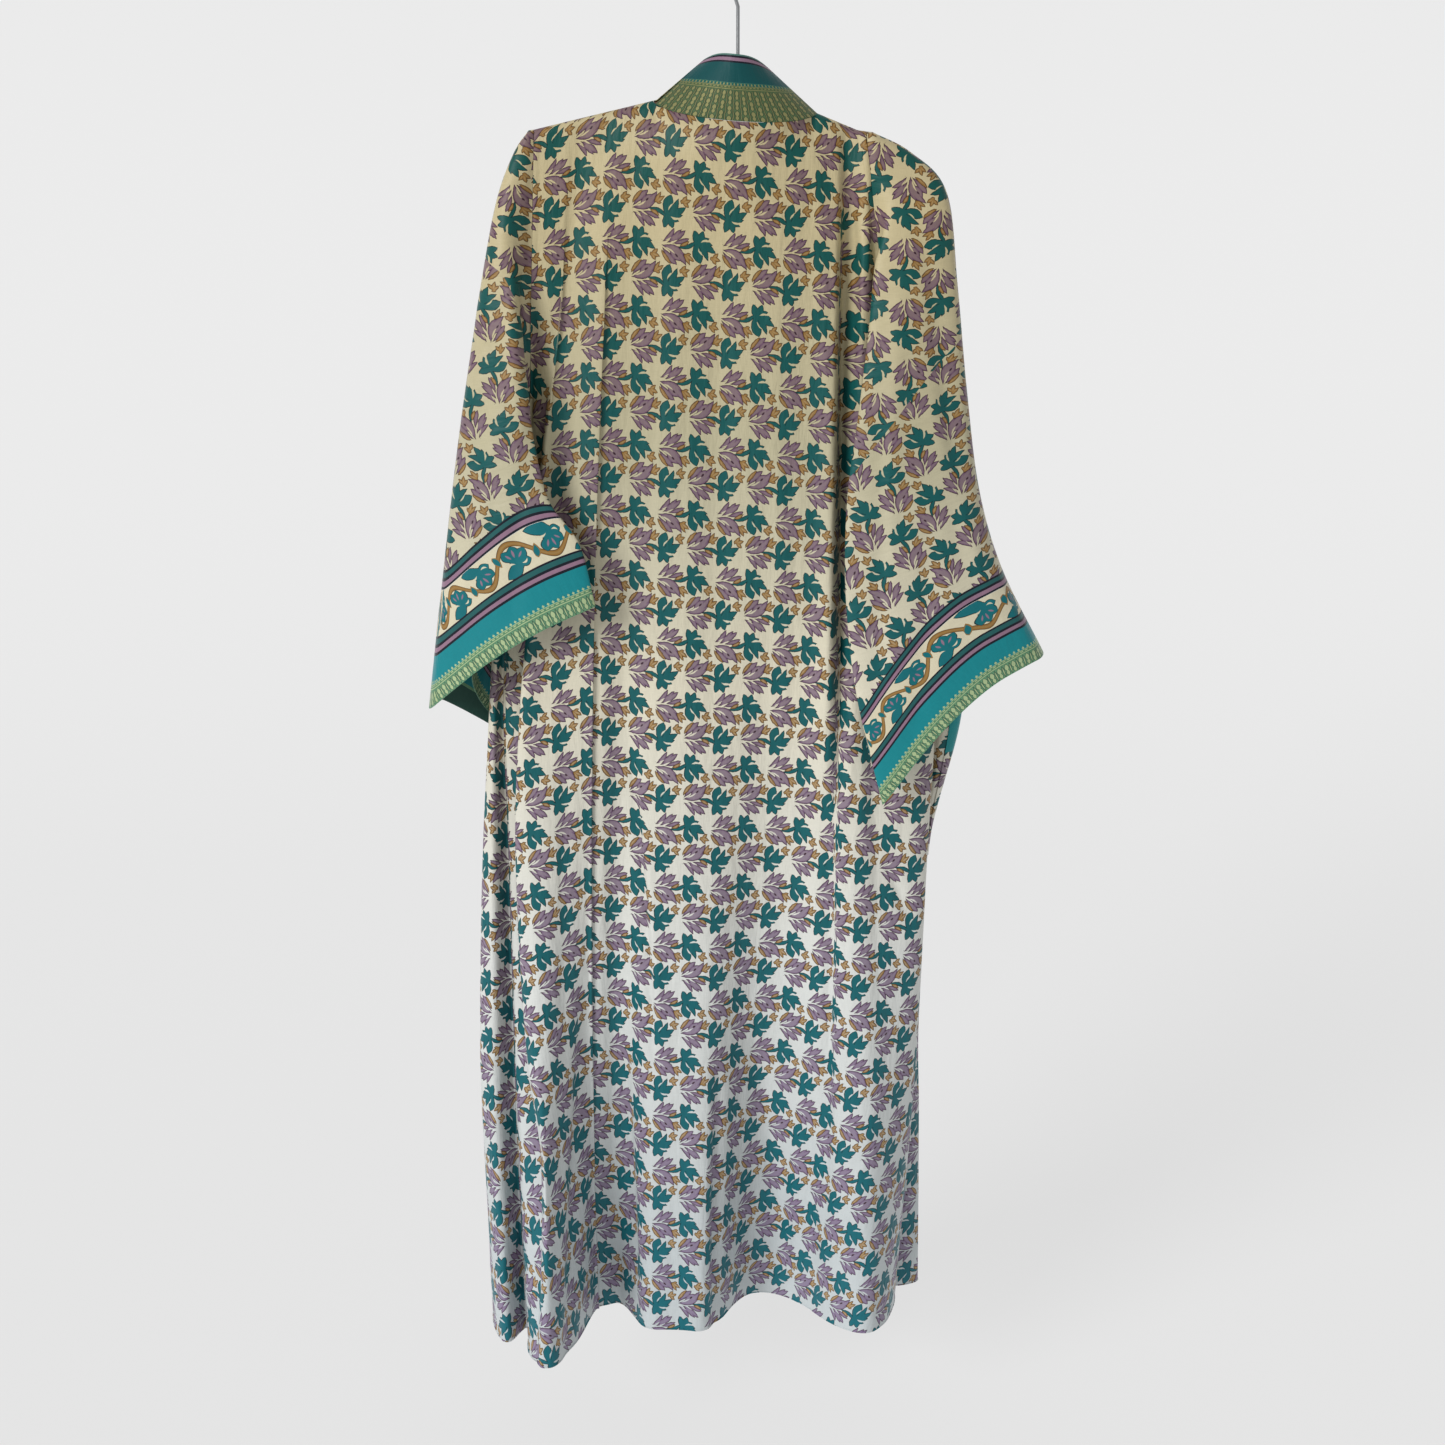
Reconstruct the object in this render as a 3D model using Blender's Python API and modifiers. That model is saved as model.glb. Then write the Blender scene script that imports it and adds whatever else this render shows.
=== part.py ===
"""Long robe of kimono cut in printed silk, hung on a plain bar hanger.

Metres, +Z up. The back of the robe faces -Y and its left and right are those of someone who looks at the back.
The origin is the inside top of the hanger's hook.
"""

import math
from collections import namedtuple

import bmesh
import bpy
from mathutils import Vector

COLLECTION = "kimono_robe_on_hanger"

# Cloth and seams
WALL = 0.0015
SEAM_GAP = 0.0003
ROBE_TOP = -0.1235
HEM = -1.470
UNDERARM = -0.440

# Hanger
BAR_RADIUS = 0.006
BAR_CLEARANCE = 0.0009
SHOULDER_SLOPE = math.radians(17.6)
HANGER_TILT = math.radians(4.8)
BAR_LEFT_TIP = -0.1650
BAR_RIGHT_TIP = 0.1500
BAR_BEND = 0.024
WIRE_RADIUS = 0.00175
HOOK_RADIUS = 0.020
SHANK_TOP = -0.056
SHANK_STRAIGHT = 0.020
SHANK_SHARES = (0.3, 0.6, 0.85)
SHANK_BOW = 1.5
HOOK_SEAT = 0.0002
HOOK_END_ANGLE = math.radians(-28)
HOOK_STEPS = 14
BAR_STATIONS = (0.05, 0.10)

# Neck and band
NECK_LEFT = -0.0815
NECK_RIGHT = 0.0760
NECK_DEPTH = 0.036
NECK_DIP = 0.013
NECK_REACH = 0.030
NECK_EASE = 0.012
NAPE_HALF_WIDTH = 0.160
NAPE_REACH = 0.120
BAND_EDGE = 0.0700
BAND_FRONT_GAP = 0.0110
BAND_TOP = -0.0995
BAND_TOP_TILT = 0.100
BAND_END_DROP = 0.009
BAND_NARROW = 0.30
BAND_BACK_Y = -0.0130
BAND_SIDE_Y = 0.0100
BAND_FALL = 0.160
SEAM_TURN = 0.0030
SEAM_TURN_REACH = 0.120
SEAM_CLOSE_REACH = 0.240
ARMHOLE_OPENING = 0.140
UNDERARM_HALF = 0.0032
NECK_FALL = 0.25
BAND_FLARE = 0.10
BAND_SHARES = (0.0, 0.33, 0.67, 1.0)
BAND_LEAN = 0.4
BAND_LEAN_REACH = 0.020
SEAM_REACH = 0.001
# Angles by which the side edges of the back and of the front turn from inwards, below the armhole, on each
# side
SEAM_TURNS = {-1: (0, 180), 1: (90, 90)}

# Distance from the bar's centre to the middle of the cloth wall, and the shares of it that each row over
# the bar takes
WRAP = BAR_RADIUS + BAR_CLEARANCE + WALL / 2
WRAP_TURN = 1.207
CORNER_CUT = 0.25

# Turn-backs of the fold at the left of the back: least step across each, then shares of the fold's gap,
# across and back
FOLD_STEP = 0.003
FOLD_INNER = (0.3, 0.6)
FOLD_OUTER = (0.2, 1.0)

# Sides of the back at each level, from the side seam inwards: the seam, the strip outside the fold, the
# cloth under the fold, the fold itself and its gap
SideRow = namedtuple("SideRow", "z seam_x seam_y out_x out_y under_x under_y fold_x fold_y fold_gap")
LEFT_BACK = [
    SideRow(-0.130, -0.1975, -0.0075, -0.191, -0.0075, -0.184, -0.0075, -0.170, -0.0075, 0.000),
    SideRow(-0.300, -0.2035, -0.0120, -0.198, -0.0130, -0.190, -0.0140, -0.175, -0.0150, 0.001),
    SideRow(-0.440, -0.2100, +0.0000, -0.205, -0.0060, -0.195, -0.0120, -0.193, -0.0190, 0.005),
    SideRow(-0.550, -0.2260, +0.0010, -0.223, -0.0060, -0.187, -0.0130, -0.207, -0.0240, 0.010),
    SideRow(-0.650, -0.2370, +0.0010, -0.234, -0.0070, -0.184, -0.0150, -0.216, -0.0260, 0.010),
    SideRow(-0.750, -0.2440, +0.0010, -0.241, -0.0080, -0.184, -0.0160, -0.226, -0.0290, 0.010),
    SideRow(-0.900, -0.2430, +0.0000, -0.242, -0.0100, -0.188, -0.0180, -0.234, -0.0310, 0.011),
    SideRow(-1.130, -0.2425, -0.0040, -0.241, -0.0200, -0.196, -0.0340, -0.226, -0.0480, 0.012),
    SideRow(-1.240, -0.2415, -0.0110, -0.238, -0.0400, -0.206, -0.0530, -0.212, -0.0650, 0.012),
    SideRow(-1.470, -0.2350, -0.0280, -0.230, -0.0730, -0.224, -0.0900, -0.215, -0.1030, 0.006),
]
RIGHT_BACK = [
    SideRow(-0.130, 0.1240, -0.0075, 0.119, -0.0075, 0.114, -0.0075, 0.108, -0.0075, 0.000),
    SideRow(-0.300, 0.1480, -0.0120, 0.143, -0.0140, 0.137, -0.0170, 0.130, -0.0200, 0.000),
    SideRow(-0.440, 0.1740, +0.0000, 0.169, -0.0080, 0.162, -0.0130, 0.153, -0.0160, 0.000),
    SideRow(-0.550, 0.1930, +0.0010, 0.190, -0.0080, 0.181, -0.0150, 0.170, -0.0180, 0.000),
    SideRow(-0.650, 0.2050, +0.0010, 0.203, -0.0090, 0.194, -0.0160, 0.182, -0.0210, 0.000),
    SideRow(-0.750, 0.2080, +0.0010, 0.207, -0.0100, 0.199, -0.0190, 0.186, -0.0240, 0.000),
    SideRow(-0.900, 0.2010, +0.0020, 0.204, -0.0100, 0.196, -0.0200, 0.184, -0.0250, 0.000),
    SideRow(-1.130, 0.1930, +0.0180, 0.200, +0.0040, 0.194, -0.0080, 0.184, -0.0160, 0.000),
    SideRow(-1.240, 0.1880, +0.0300, 0.196, +0.0170, 0.192, +0.0020, 0.184, -0.0080, 0.000),
    SideRow(-1.470, 0.1760, +0.0580, 0.184, +0.0480, 0.183, +0.0280, 0.176, +0.0020, 0.000),
]

# Folds that run down the back, left to right: place and depth at the shoulder, half way down and at the hem
FoldRow = namedtuple("FoldRow", "name x_top x_mid x_hem y_top y_mid y_hem")
BACK_FOLDS = [
    FoldRow("left ridge", -0.152, -0.204, -0.196, -0.0075, -0.040, -0.106),
    FoldRow("left ridge foot", -0.136, -0.180, -0.178, -0.0075, -0.038, -0.066),
    FoldRow("long crease", -0.118, -0.150, -0.156, -0.0075, -0.030, +0.016),
    FoldRow("left trough", -0.094, -0.118, -0.128, -0.0075, -0.020, +0.030),
    FoldRow("middle ridge, left", -0.068, -0.088, -0.106, -0.0075, -0.034, -0.032),
    FoldRow("middle ridge", -0.042, -0.056, -0.066, -0.0075, -0.036, -0.030),
    FoldRow("middle ridge, right", -0.016, -0.022, -0.028, -0.0075, -0.035, -0.038),
    FoldRow("right trough, left", 0.012, 0.012, 0.004, -0.0075, -0.026, +0.040),
    FoldRow("right trough", 0.036, 0.042, 0.034, -0.0075, -0.022, +0.052),
    FoldRow("right trough, right", 0.056, 0.072, 0.070, -0.0075, -0.026, +0.032),
    FoldRow("right ridge", 0.072, 0.100, 0.108, -0.0075, -0.036, -0.022),
    FoldRow("right ridge, right", 0.086, 0.126, 0.146, -0.0075, -0.038, -0.044),
    FoldRow("right hollow", 0.098, 0.152, 0.168, -0.0075, -0.028, -0.020),
]

# Sides of the fronts at each level: where the cloth wraps round, its outermost line and where it turns to
# the front
FrontRow = namedtuple("FrontRow", "z wrap_x wrap_y outer_x outer_y turn_x turn_y")
LEFT_FRONT = [
    FrontRow(-0.130, -0.190, 0.0075, -0.182, 0.0075, -0.170, 0.0075),
    FrontRow(-0.300, -0.197, 0.0130, -0.189, 0.0150, -0.176, 0.0170),
    FrontRow(-0.440, -0.206, 0.0060, -0.203, 0.0130, -0.194, 0.0200),
    FrontRow(-0.550, -0.230, 0.0050, -0.235, 0.0090, -0.222, 0.0220),
    FrontRow(-0.650, -0.244, -0.0060, -0.251, 0.0040, -0.237, 0.0250),
    FrontRow(-0.750, -0.253, -0.0110, -0.262, 0.0020, -0.248, 0.0290),
    FrontRow(-0.900, -0.258, -0.0190, -0.275, -0.0020, -0.258, 0.0330),
    FrontRow(-1.130, -0.264, -0.0280, -0.285, -0.0040, -0.266, 0.0430),
    FrontRow(-1.240, -0.263, -0.0380, -0.285, -0.0050, -0.266, 0.0530),
    FrontRow(-1.470, -0.256, -0.0700, -0.280, +0.0000, -0.266, 0.0760),
]
RIGHT_FRONT = [
    FrontRow(-0.130, 0.119, 0.0075, 0.114, 0.0075, 0.107, 0.0075),
    FrontRow(-0.300, 0.143, 0.0140, 0.138, 0.0160, 0.129, 0.0190),
    FrontRow(-0.440, 0.170, 0.0060, 0.167, 0.0130, 0.158, 0.0200),
    FrontRow(-0.550, 0.196, 0.0050, 0.200, 0.0100, 0.190, 0.0220),
    FrontRow(-0.650, 0.212, -0.0050, 0.229, 0.0040, 0.215, 0.0260),
    FrontRow(-0.750, 0.219, -0.0070, 0.240, 0.0050, 0.224, 0.0300),
    FrontRow(-0.900, 0.205, 0.0080, 0.209, 0.0180, 0.200, 0.0340),
    FrontRow(-1.130, 0.200, 0.0260, 0.206, 0.0400, 0.194, 0.0520),
    FrontRow(-1.240, 0.202, 0.0400, 0.210, 0.0540, 0.197, 0.0660),
    FrontRow(-1.470, 0.200, 0.0640, 0.218, 0.0760, 0.202, 0.0900),
]

# Folds down each front between the side and the band: share of the way, depth at the top, half way down and
# at the hem
FrontFold = namedtuple("FrontFold", "share y_top y_mid y_hem")
LEFT_FRONT_FOLDS = [
    FrontFold(0.18, 0.0075, 0.036, 0.100),
    FrontFold(0.36, 0.0075, 0.028, 0.072),
    FrontFold(0.54, 0.0075, 0.034, 0.092),
    FrontFold(0.70, 0.0075, 0.036, 0.100),
    FrontFold(0.86, 0.0075, 0.030, 0.082),
]
RIGHT_FRONT_FOLDS = [
    FrontFold(0.18, 0.0075, 0.036, 0.106),
    FrontFold(0.36, 0.0075, 0.038, 0.112),
    FrontFold(0.54, 0.0075, 0.030, 0.094),
    FrontFold(0.70, 0.0075, 0.032, 0.090),
    FrontFold(0.86, 0.0075, 0.036, 0.098),
]
# Depth of the band's seam at the top, half way down and at the hem
BAND_LINE_Y = (0.0075, 0.032, 0.086)

# Sleeve rings from the armhole to the wrist: top fold, fold that lies over the back, near side of the
# underarm notch, fold that lies over the front; then half widths of the top fold and of the notch, how far
# the notch's far side hangs below its near side, how far the two faces stand out and how far the near one
# is lifted between its ends
RingRow = namedtuple("RingRow", "top lap notch lap_front cap half drop near_out far_out lift")
LEFT_RINGS = [
    RingRow((-0.218, 0.000, -0.192), (-0.213, -0.020, -0.315), (-0.2260, -0.008, -0.448),
            (-0.211, 0.022, -0.330), 0.0100, 0.006, 0.004, 0.006, 0.006, 0.0),
    RingRow((-0.236, 0.000, -0.238), (-0.211, -0.034, -0.375), (-0.2370, -0.018, -0.485),
            (-0.210, 0.036, -0.400), 0.0140, 0.018, 0.010, 0.012, 0.010, 0.0),
    RingRow((-0.253, -0.003, -0.318), (-0.205, -0.044, -0.430), (-0.2460, -0.026, -0.535),
            (-0.204, 0.046, -0.500), 0.0180, 0.026, 0.020, 0.014, 0.010, 0.0),
    RingRow((-0.274, -0.005, -0.430), (-0.196, -0.050, -0.490), (-0.2530, -0.032, -0.595),
            (-0.192, 0.050, -0.610), 0.0220, 0.032, 0.030, 0.014, 0.010, 0.0),
    RingRow((-0.292, -0.005, -0.545), (-0.184, -0.056, -0.528), (-0.2620, -0.036, -0.635),
            (-0.176, 0.054, -0.700), 0.0260, 0.036, 0.040, 0.014, 0.012, 0.0),
    RingRow((-0.307, -0.003, -0.655), (-0.157, -0.060, -0.566), (-0.2690, -0.038, -0.665),
            (-0.166, 0.058, -0.790), 0.0300, 0.038, 0.050, 0.014, 0.014, 0.008),
    RingRow((-0.320, 0.000, -0.748), (-0.142, -0.062, -0.628), (-0.2750, -0.038, -0.690),
            (-0.158, 0.062, -0.862), 0.0320, 0.038, 0.070, 0.016, 0.016, 0.016),
]
RIGHT_RINGS = [
    RingRow((0.168, 0.000, -0.1905), (0.135, -0.025, -0.290), (0.1900, -0.012, -0.448),
            (0.145, 0.026, -0.320), 0.0077, 0.012, 0.004, 0.006, 0.006, 0.0),
    RingRow((0.204, 0.000, -0.228), (0.128, -0.036, -0.360), (0.2040, -0.020, -0.485),
            (0.148, 0.038, -0.400), 0.0120, 0.020, 0.004, 0.010, 0.010, 0.0),
    RingRow((0.217, -0.003, -0.318), (0.119, -0.044, -0.440), (0.2170, -0.026, -0.535),
            (0.152, 0.046, -0.480), 0.0180, 0.026, 0.004, 0.012, 0.010, 0.0),
    RingRow((0.229, -0.005, -0.420), (0.109, -0.050, -0.525), (0.2280, -0.032, -0.580),
            (0.156, 0.050, -0.570), 0.0220, 0.032, 0.004, 0.012, 0.010, 0.0),
    RingRow((0.2445, -0.005, -0.520), (0.109, -0.054, -0.620), (0.2380, -0.034, -0.620),
            (0.160, 0.054, -0.640), 0.0260, 0.034, 0.004, 0.012, 0.012, 0.006),
    RingRow((0.271, -0.003, -0.602), (0.122, -0.056, -0.725), (0.2440, -0.036, -0.650),
            (0.164, 0.056, -0.700), 0.0260, 0.036, 0.004, 0.014, 0.014, 0.018),
    RingRow((0.317, 0.000, -0.690), (0.150, -0.058, -0.838), (0.2480, -0.038, -0.668),
            (0.176, 0.058, -0.740), 0.0240, 0.038, 0.004, 0.014, 0.016, 0.032),
]
ARMHOLE_SHARES = (0.14, 0.28, 0.40, 0.50, 0.76, 1.0)

# Patch pockets on the fronts: columns and rows of the panel that each one covers
POCKET_TOP = -0.743
POCKET_BOTTOM = -0.915
POCKET_FIRST_COLUMN = {-1: 8, 1: 5}
POCKET_LAST_COLUMN = 15

# Rows of the body panels below the bar, as drops from the top of the robe
BODY_DROPS = (0.020, 0.045, 0.085, 0.135, 0.195, 0.255, 0.3165, 0.360, 0.410, 0.470, 0.545, 0.620, 0.675, 0.730,
              0.790, 0.870, 0.950, 1.030, 1.110, 1.180, 1.240, 1.300, 1.3445)
SLOPE_REACH = 0.30
SLEEVE_ROWS = 12
NEAR_SHARES = (0.12, 0.38, 0.70)
LAP_THICKNESS = 0.008
LAP_MIDDLE = 0.55
BULGE_SKEW = 1.1
BULGE_ROUND = 0.5
SLEEVE_START = 0.0015
EASE_OUT = 0.0045
EASE_OFF = 0.0035

SILK = (0.72, 0.70, 0.60, 1.0)
SLEEVE_SILK = (0.66, 0.64, 0.52, 1.0)
BAND_TEAL = (0.02, 0.20, 0.20, 1.0)
POCKET_TEAL = (0.02, 0.28, 0.30, 1.0)
BAR_BROWN = (0.30, 0.20, 0.12, 1.0)
STEEL = (0.55, 0.56, 0.57, 1.0)


def glide(rows, z):
    """Values of a side table at height z, on a smooth curve through its rows."""
    k = 0
    while k < len(rows) - 2 and z < rows[k + 1].z:
        k += 1
    upper, lower = rows[k], rows[k + 1]
    before, after = rows[max(k - 1, 0)], rows[min(k + 2, len(rows) - 1)]
    span = lower.z - upper.z
    t = min(max((z - upper.z) / span, 0.0), 1.0)
    found = {}
    for name in upper._fields[1:]:
        a, b = getattr(upper, name), getattr(lower, name)
        slope_a = (b - getattr(before, name)) / (lower.z - before.z) * span
        slope_b = (getattr(after, name) - a) / (after.z - upper.z) * span
        found[name] = hermite(a, b, slope_a, slope_b, t)
    return found


def hermite(a, b, slope_a, slope_b, t):
    """Cubic from a to b with the given end slopes."""
    return (a * (1 + 2 * t) * (1 - t) ** 2 + slope_a * t * (1 - t) ** 2
            + b * t * t * (3 - 2 * t) + slope_b * t * t * (t - 1))


def smooth_share(t):
    """Smooth step from 0 to 1 as t goes from 0 to 1."""
    t = min(max(t, 0.0), 1.0)
    return t * t * (3 - 2 * t)


def three_levels(top, middle, hem, z):
    """Parabola through a value at the top of the robe, half way down and at the hem."""
    t = (ROBE_TOP - z) / (ROBE_TOP - HEM)
    return top * (1 - t) * (1 - 2 * t) + middle * 4 * t * (1 - t) + hem * t * (2 * t - 1)


def cut_corners(points, closed=False):
    """Rounds a control line by cutting each corner a quarter of the way along its sides."""
    rounded = [] if closed else [points[0]]
    count = len(points)
    for k in range(count if closed else count - 1):
        a, b = points[k], points[(k + 1) % count]
        rounded.append(a.lerp(b, CORNER_CUT))
        rounded.append(a.lerp(b, 1 - CORNER_CUT))
    if not closed:
        rounded.append(points[-1])
    return rounded


def shoulder_height(x):
    """Top of the robe at x: two slopes from the neck, tilted with the hanger."""
    return ROBE_TOP - abs(x) * math.tan(SHOULDER_SLOPE) - x * math.tan(HANGER_TILT)


def neck_share(x):
    """How far x lies inside the neck: 0 at its two ends, 1 in the middle."""
    middle = (NECK_LEFT + NECK_RIGHT) / 2
    half = (NECK_RIGHT - NECK_LEFT) / 2
    return math.sqrt(max(0.0, 1 - ((x - middle) / half) ** 2))


def neck_height(x):
    """Height of the back neck seam at x."""
    t = (x - NECK_LEFT) / (NECK_RIGHT - NECK_LEFT)
    level = shoulder_height(NECK_LEFT) * (1 - t) + shoulder_height(NECK_RIGHT) * t
    return level - NECK_DIP * neck_share(x)


def top_rows():
    """Distance along the cloth, depth and drop of the rows that go over the bar."""
    return [(0.0, SEAM_GAP / 2, 0.0), (WRAP / 2, WRAP / 2, 0.0), (WRAP * WRAP_TURN, WRAP, WRAP / 2)]


def body_rows():
    """Every row of a body panel: distance, depth over the bar or None, and drop."""
    rows = list(top_rows())
    rows += [(drop + WRAP / 2, None, drop) for drop in BODY_DROPS]
    return rows


def body_point(x, fold_y, row, side, with_neck):
    """Point of a body panel from its place in plan and its row. side is -1 on the back and 1 on the front."""
    distance, over_bar, drop = row
    share = neck_share(x) if with_neck and NECK_LEFT < x < NECK_RIGHT else 0.0
    slope = math.exp(-(drop / SLOPE_REACH) ** 2)
    top = neck_height(x) if share else shoulder_height(x)
    fall = drop * (1 - share) + distance * share if over_bar is not None else drop
    z = ROBE_TOP - fall + (top - ROBE_TOP) * slope
    near = math.exp(-(distance / NECK_REACH) ** 2)
    share = share ** (1 + distance / NECK_EASE)
    if over_bar is None:
        y = fold_y * (1 - share * near)
    else:
        y = side * over_bar * (1 - share)
    if with_neck:
        wide = math.cos(min(abs(x) / NAPE_HALF_WIDTH, 1.0) * math.pi / 2) ** 2
        y += side * NECK_DEPTH * (share * near + wide * (1 - near) * math.exp(-distance / NAPE_REACH))
    return Vector((x, y, z))


def seam_ends(seam_x, seam_y, side, face, z):
    """Edge of a body panel at its side and the control next to it. face is -1 on the back and 1 on the front.

    Both edges run inwards along the armhole. Below it each one turns by its own angle, and the bisector parts them.
    """
    turned, closed = (smooth_share((UNDERARM - z) / reach) for reach in (SEAM_TURN_REACH, SEAM_CLOSE_REACH))
    back_turn, front_turn = (math.radians(angle) for angle in SEAM_TURNS[side])
    parting = math.cos((front_turn + back_turn) / 2 * closed)
    back_turn, front_turn = back_turn * turned, front_turn * turned
    lean = (front_turn - back_turn) / 2
    apart = Vector((side * math.sin(lean), math.cos(lean), 0)) * (SEAM_GAP / 2 + (WALL / 2 + SEAM_GAP) * parting)
    opened = min(max((z - UNDERARM) / ARMHOLE_OPENING, 0.0), 1.0)
    y = seam_y * (1 - opened) + face * abs(seam_y) * opened
    edge = Vector((seam_x, y, 0)) + face * apart
    turn = back_turn if face < 0 else front_turn
    inside = Vector((-side * math.cos(turn), face * math.sin(turn), 0)) * SEAM_TURN
    return edge, edge + inside


def back_section(z):
    """Control line of the back at height z, from the left side seam to the right one."""
    left, right = glide(LEFT_BACK, z), glide(RIGHT_BACK, z)
    gap = left["fold_gap"]
    inner, outer = (Vector((FOLD_STEP + gap * across, -gap * back, 0)) for across, back in (FOLD_INNER, FOLD_OUTER))
    under = Vector((left["under_x"], left["under_y"], 0))
    turned = Vector((left["fold_x"], left["fold_y"], 0))
    points = list(seam_ends(left["seam_x"], left["seam_y"], -1, -1, z))
    points.append(Vector((left["out_x"], left["out_y"], 0)))
    points += [under, under + inner, turned, turned + outer]
    for fold in BACK_FOLDS:
        points.append(Vector((three_levels(fold.x_top, fold.x_mid, fold.x_hem, z),
                              three_levels(fold.y_top, fold.y_mid, fold.y_hem, z), 0)))
    points.append(Vector((right["fold_x"], right["fold_y"], 0)))
    points.append(Vector((right["under_x"], right["under_y"], 0)))
    points.append(Vector((right["out_x"], right["out_y"], 0)))
    points += seam_ends(right["seam_x"], right["seam_y"], 1, -1, z)[::-1]
    return points


def band_line(side, z):
    """Seam of a front with its band at height z, in plan."""
    top = NECK_LEFT if side < 0 else NECK_RIGHT
    t = min((ROBE_TOP - z) / NECK_FALL, 1.0)
    x = top * (1 - t) + side * (BAND_EDGE + BAND_FRONT_GAP) * t
    return Vector((x, three_levels(*BAND_LINE_Y, z), 0))


def front_section(side, z):
    """Control line of a front at height z, from the side seam to the band. side is -1 on the left, 1 on the right."""
    seams = glide(LEFT_BACK if side < 0 else RIGHT_BACK, z)
    form = glide(LEFT_FRONT if side < 0 else RIGHT_FRONT, z)
    edge = band_line(side, z)
    points = list(seam_ends(seams["seam_x"], seams["seam_y"], side, 1, z))
    points.append(Vector((form["wrap_x"], form["wrap_y"], 0)))
    points.append(Vector((form["outer_x"], form["outer_y"], 0)))
    turn = Vector((form["turn_x"], form["turn_y"], 0))
    points.append(turn)
    for fold in LEFT_FRONT_FOLDS if side < 0 else RIGHT_FRONT_FOLDS:
        x = turn.x + (edge.x - turn.x) * fold.share
        points.append(Vector((x, three_levels(fold.y_top, fold.y_mid, fold.y_hem, z), 0)))
    points.append(edge + Vector((side * SEAM_TURN, 0, 0)))
    points.append(edge)
    return points


def body_panel(section, side, with_neck):
    """Rows of points of one body panel."""
    rows = []
    for row in body_rows():
        z = ROBE_TOP - row[2]
        line = cut_corners(section(z))
        rows.append([body_point(p.x, p.y, row, side, with_neck) for p in line])
    return rows


def armhole_ring(side, back_rows, front_rows):
    """Where the sleeve meets the body: the armhole edges of the back and the front, as a ring of controls."""
    column = 0 if side < 0 else -1
    drops = [row[2] for row in body_rows()]
    last = max(k for k, drop in enumerate(drops) if drop <= ROBE_TOP - UNDERARM + 1e-6)

    def at(rows, column, share):
        z = rows[0][column].z * (1 - share) + rows[last][column].z * share
        k = 0
        while k < last - 1 and rows[k + 1][column].z > z:
            k += 1
        a, b = rows[k][column], rows[k + 1][column]
        return a.lerp(b, (z - a.z) / (b.z - a.z) if b.z != a.z else 0.0)

    top = back_rows[0][column]
    shares = (2 * WRAP / (top.z - back_rows[last][column].z),) + ARMHOLE_SHARES
    back = [at(back_rows, column, share) for share in shares]
    front = [at(front_rows, 0, share) for share in shares]
    for behind, ahead in zip(back, front):
        behind.y = min(behind.y, -UNDERARM_HALF)
        ahead.y = max(ahead.y, UNDERARM_HALF)
    ring = [Vector((top.x, -WRAP, top.z))] + back + front[::-1] + [Vector((top.x, WRAP, top.z))]
    return [p + Vector((side * SEAM_GAP, 0, 0)) for p in ring]


def ring_points(row):
    """Control ring of a sleeve from one row of its table."""
    top, lap, notch, lap_front = (Vector(v) for v in (row.top, row.lap, row.notch, row.lap_front))
    fold = Vector((0, LAP_THICKNESS, 0))
    notch_far = Vector((notch.x, notch.y + 2 * row.half, notch.z - row.drop))

    def face(end, out, lift):
        points = [top + Vector((0, math.copysign(row.cap, out), 0))]
        for share in NEAR_SHARES:
            bulge = math.sin(math.pi * min(share * BULGE_SKEW, 1.0)) ** BULGE_ROUND
            level = math.sin(math.pi * share)
            points.append(points[0].lerp(end, share) + Vector((0, out * bulge, lift * level)))
        return points

    near = face(lap - fold, -row.near_out, row.lift)
    far = face(lap_front + fold, row.far_out, 0.0)
    back = near + [lap - fold, lap, lap.lerp(notch, LAP_MIDDLE), notch]
    front = far + [lap_front + fold, lap_front, lap_front.lerp(notch_far, LAP_MIDDLE), notch_far]
    return back + front[::-1]


def sleeve(side, back_rows, front_rows):
    """Rings of points of a sleeve, from the armhole to the wrist."""
    start = armhole_ring(side, back_rows, front_rows)
    half = len(start) // 2
    ease = [Vector((side * EASE_OUT, -EASE_OFF if k < half else EASE_OFF, 0)) for k in range(len(start))]
    rings = [[p + off for p, off in zip(start, ease)]]
    rings += [ring_points(row) for row in (LEFT_RINGS if side < 0 else RIGHT_RINGS)]
    last = len(rings) - 1
    straight = [p + Vector((side * SLEEVE_START, 0, 0)) for p in start]
    rows = [cut_corners(start, closed=True), cut_corners(straight, closed=True)]
    for j in range(SLEEVE_ROWS + 1):
        place = j / SLEEVE_ROWS * last
        k = min(int(place), last - 1)
        a, b = rings[k], rings[k + 1]
        before, after = rings[max(k - 1, 0)], rings[min(k + 2, last)]
        ring = []
        for i in range(len(a)):
            slope_a = (b[i] - before[i]) / (2 if k else 1)
            slope_b = (after[i] - a[i]) / (2 if k + 2 <= last else 1)
            ring.append(hermite(a[i], b[i], slope_a, slope_b, place - k))
        rows.append(cut_corners(ring, closed=True))
    return rows


def band_free_edge(seam):
    """Free edge of the band over a point of the back neck seam."""
    middle = (NECK_LEFT + NECK_RIGHT) / 2
    along = min(abs(seam.x - middle) / ((NECK_RIGHT - NECK_LEFT) / 2), 1.0)
    x = middle + (seam.x - middle) * (BAND_NARROW + BAND_FLARE * along ** 2)
    y = BAND_BACK_Y + (BAND_SIDE_Y - BAND_BACK_Y) * along ** 2
    return Vector((x, y, BAND_TOP - BAND_END_DROP * along ** 4 - BAND_TOP_TILT * (x - middle)))


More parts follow.
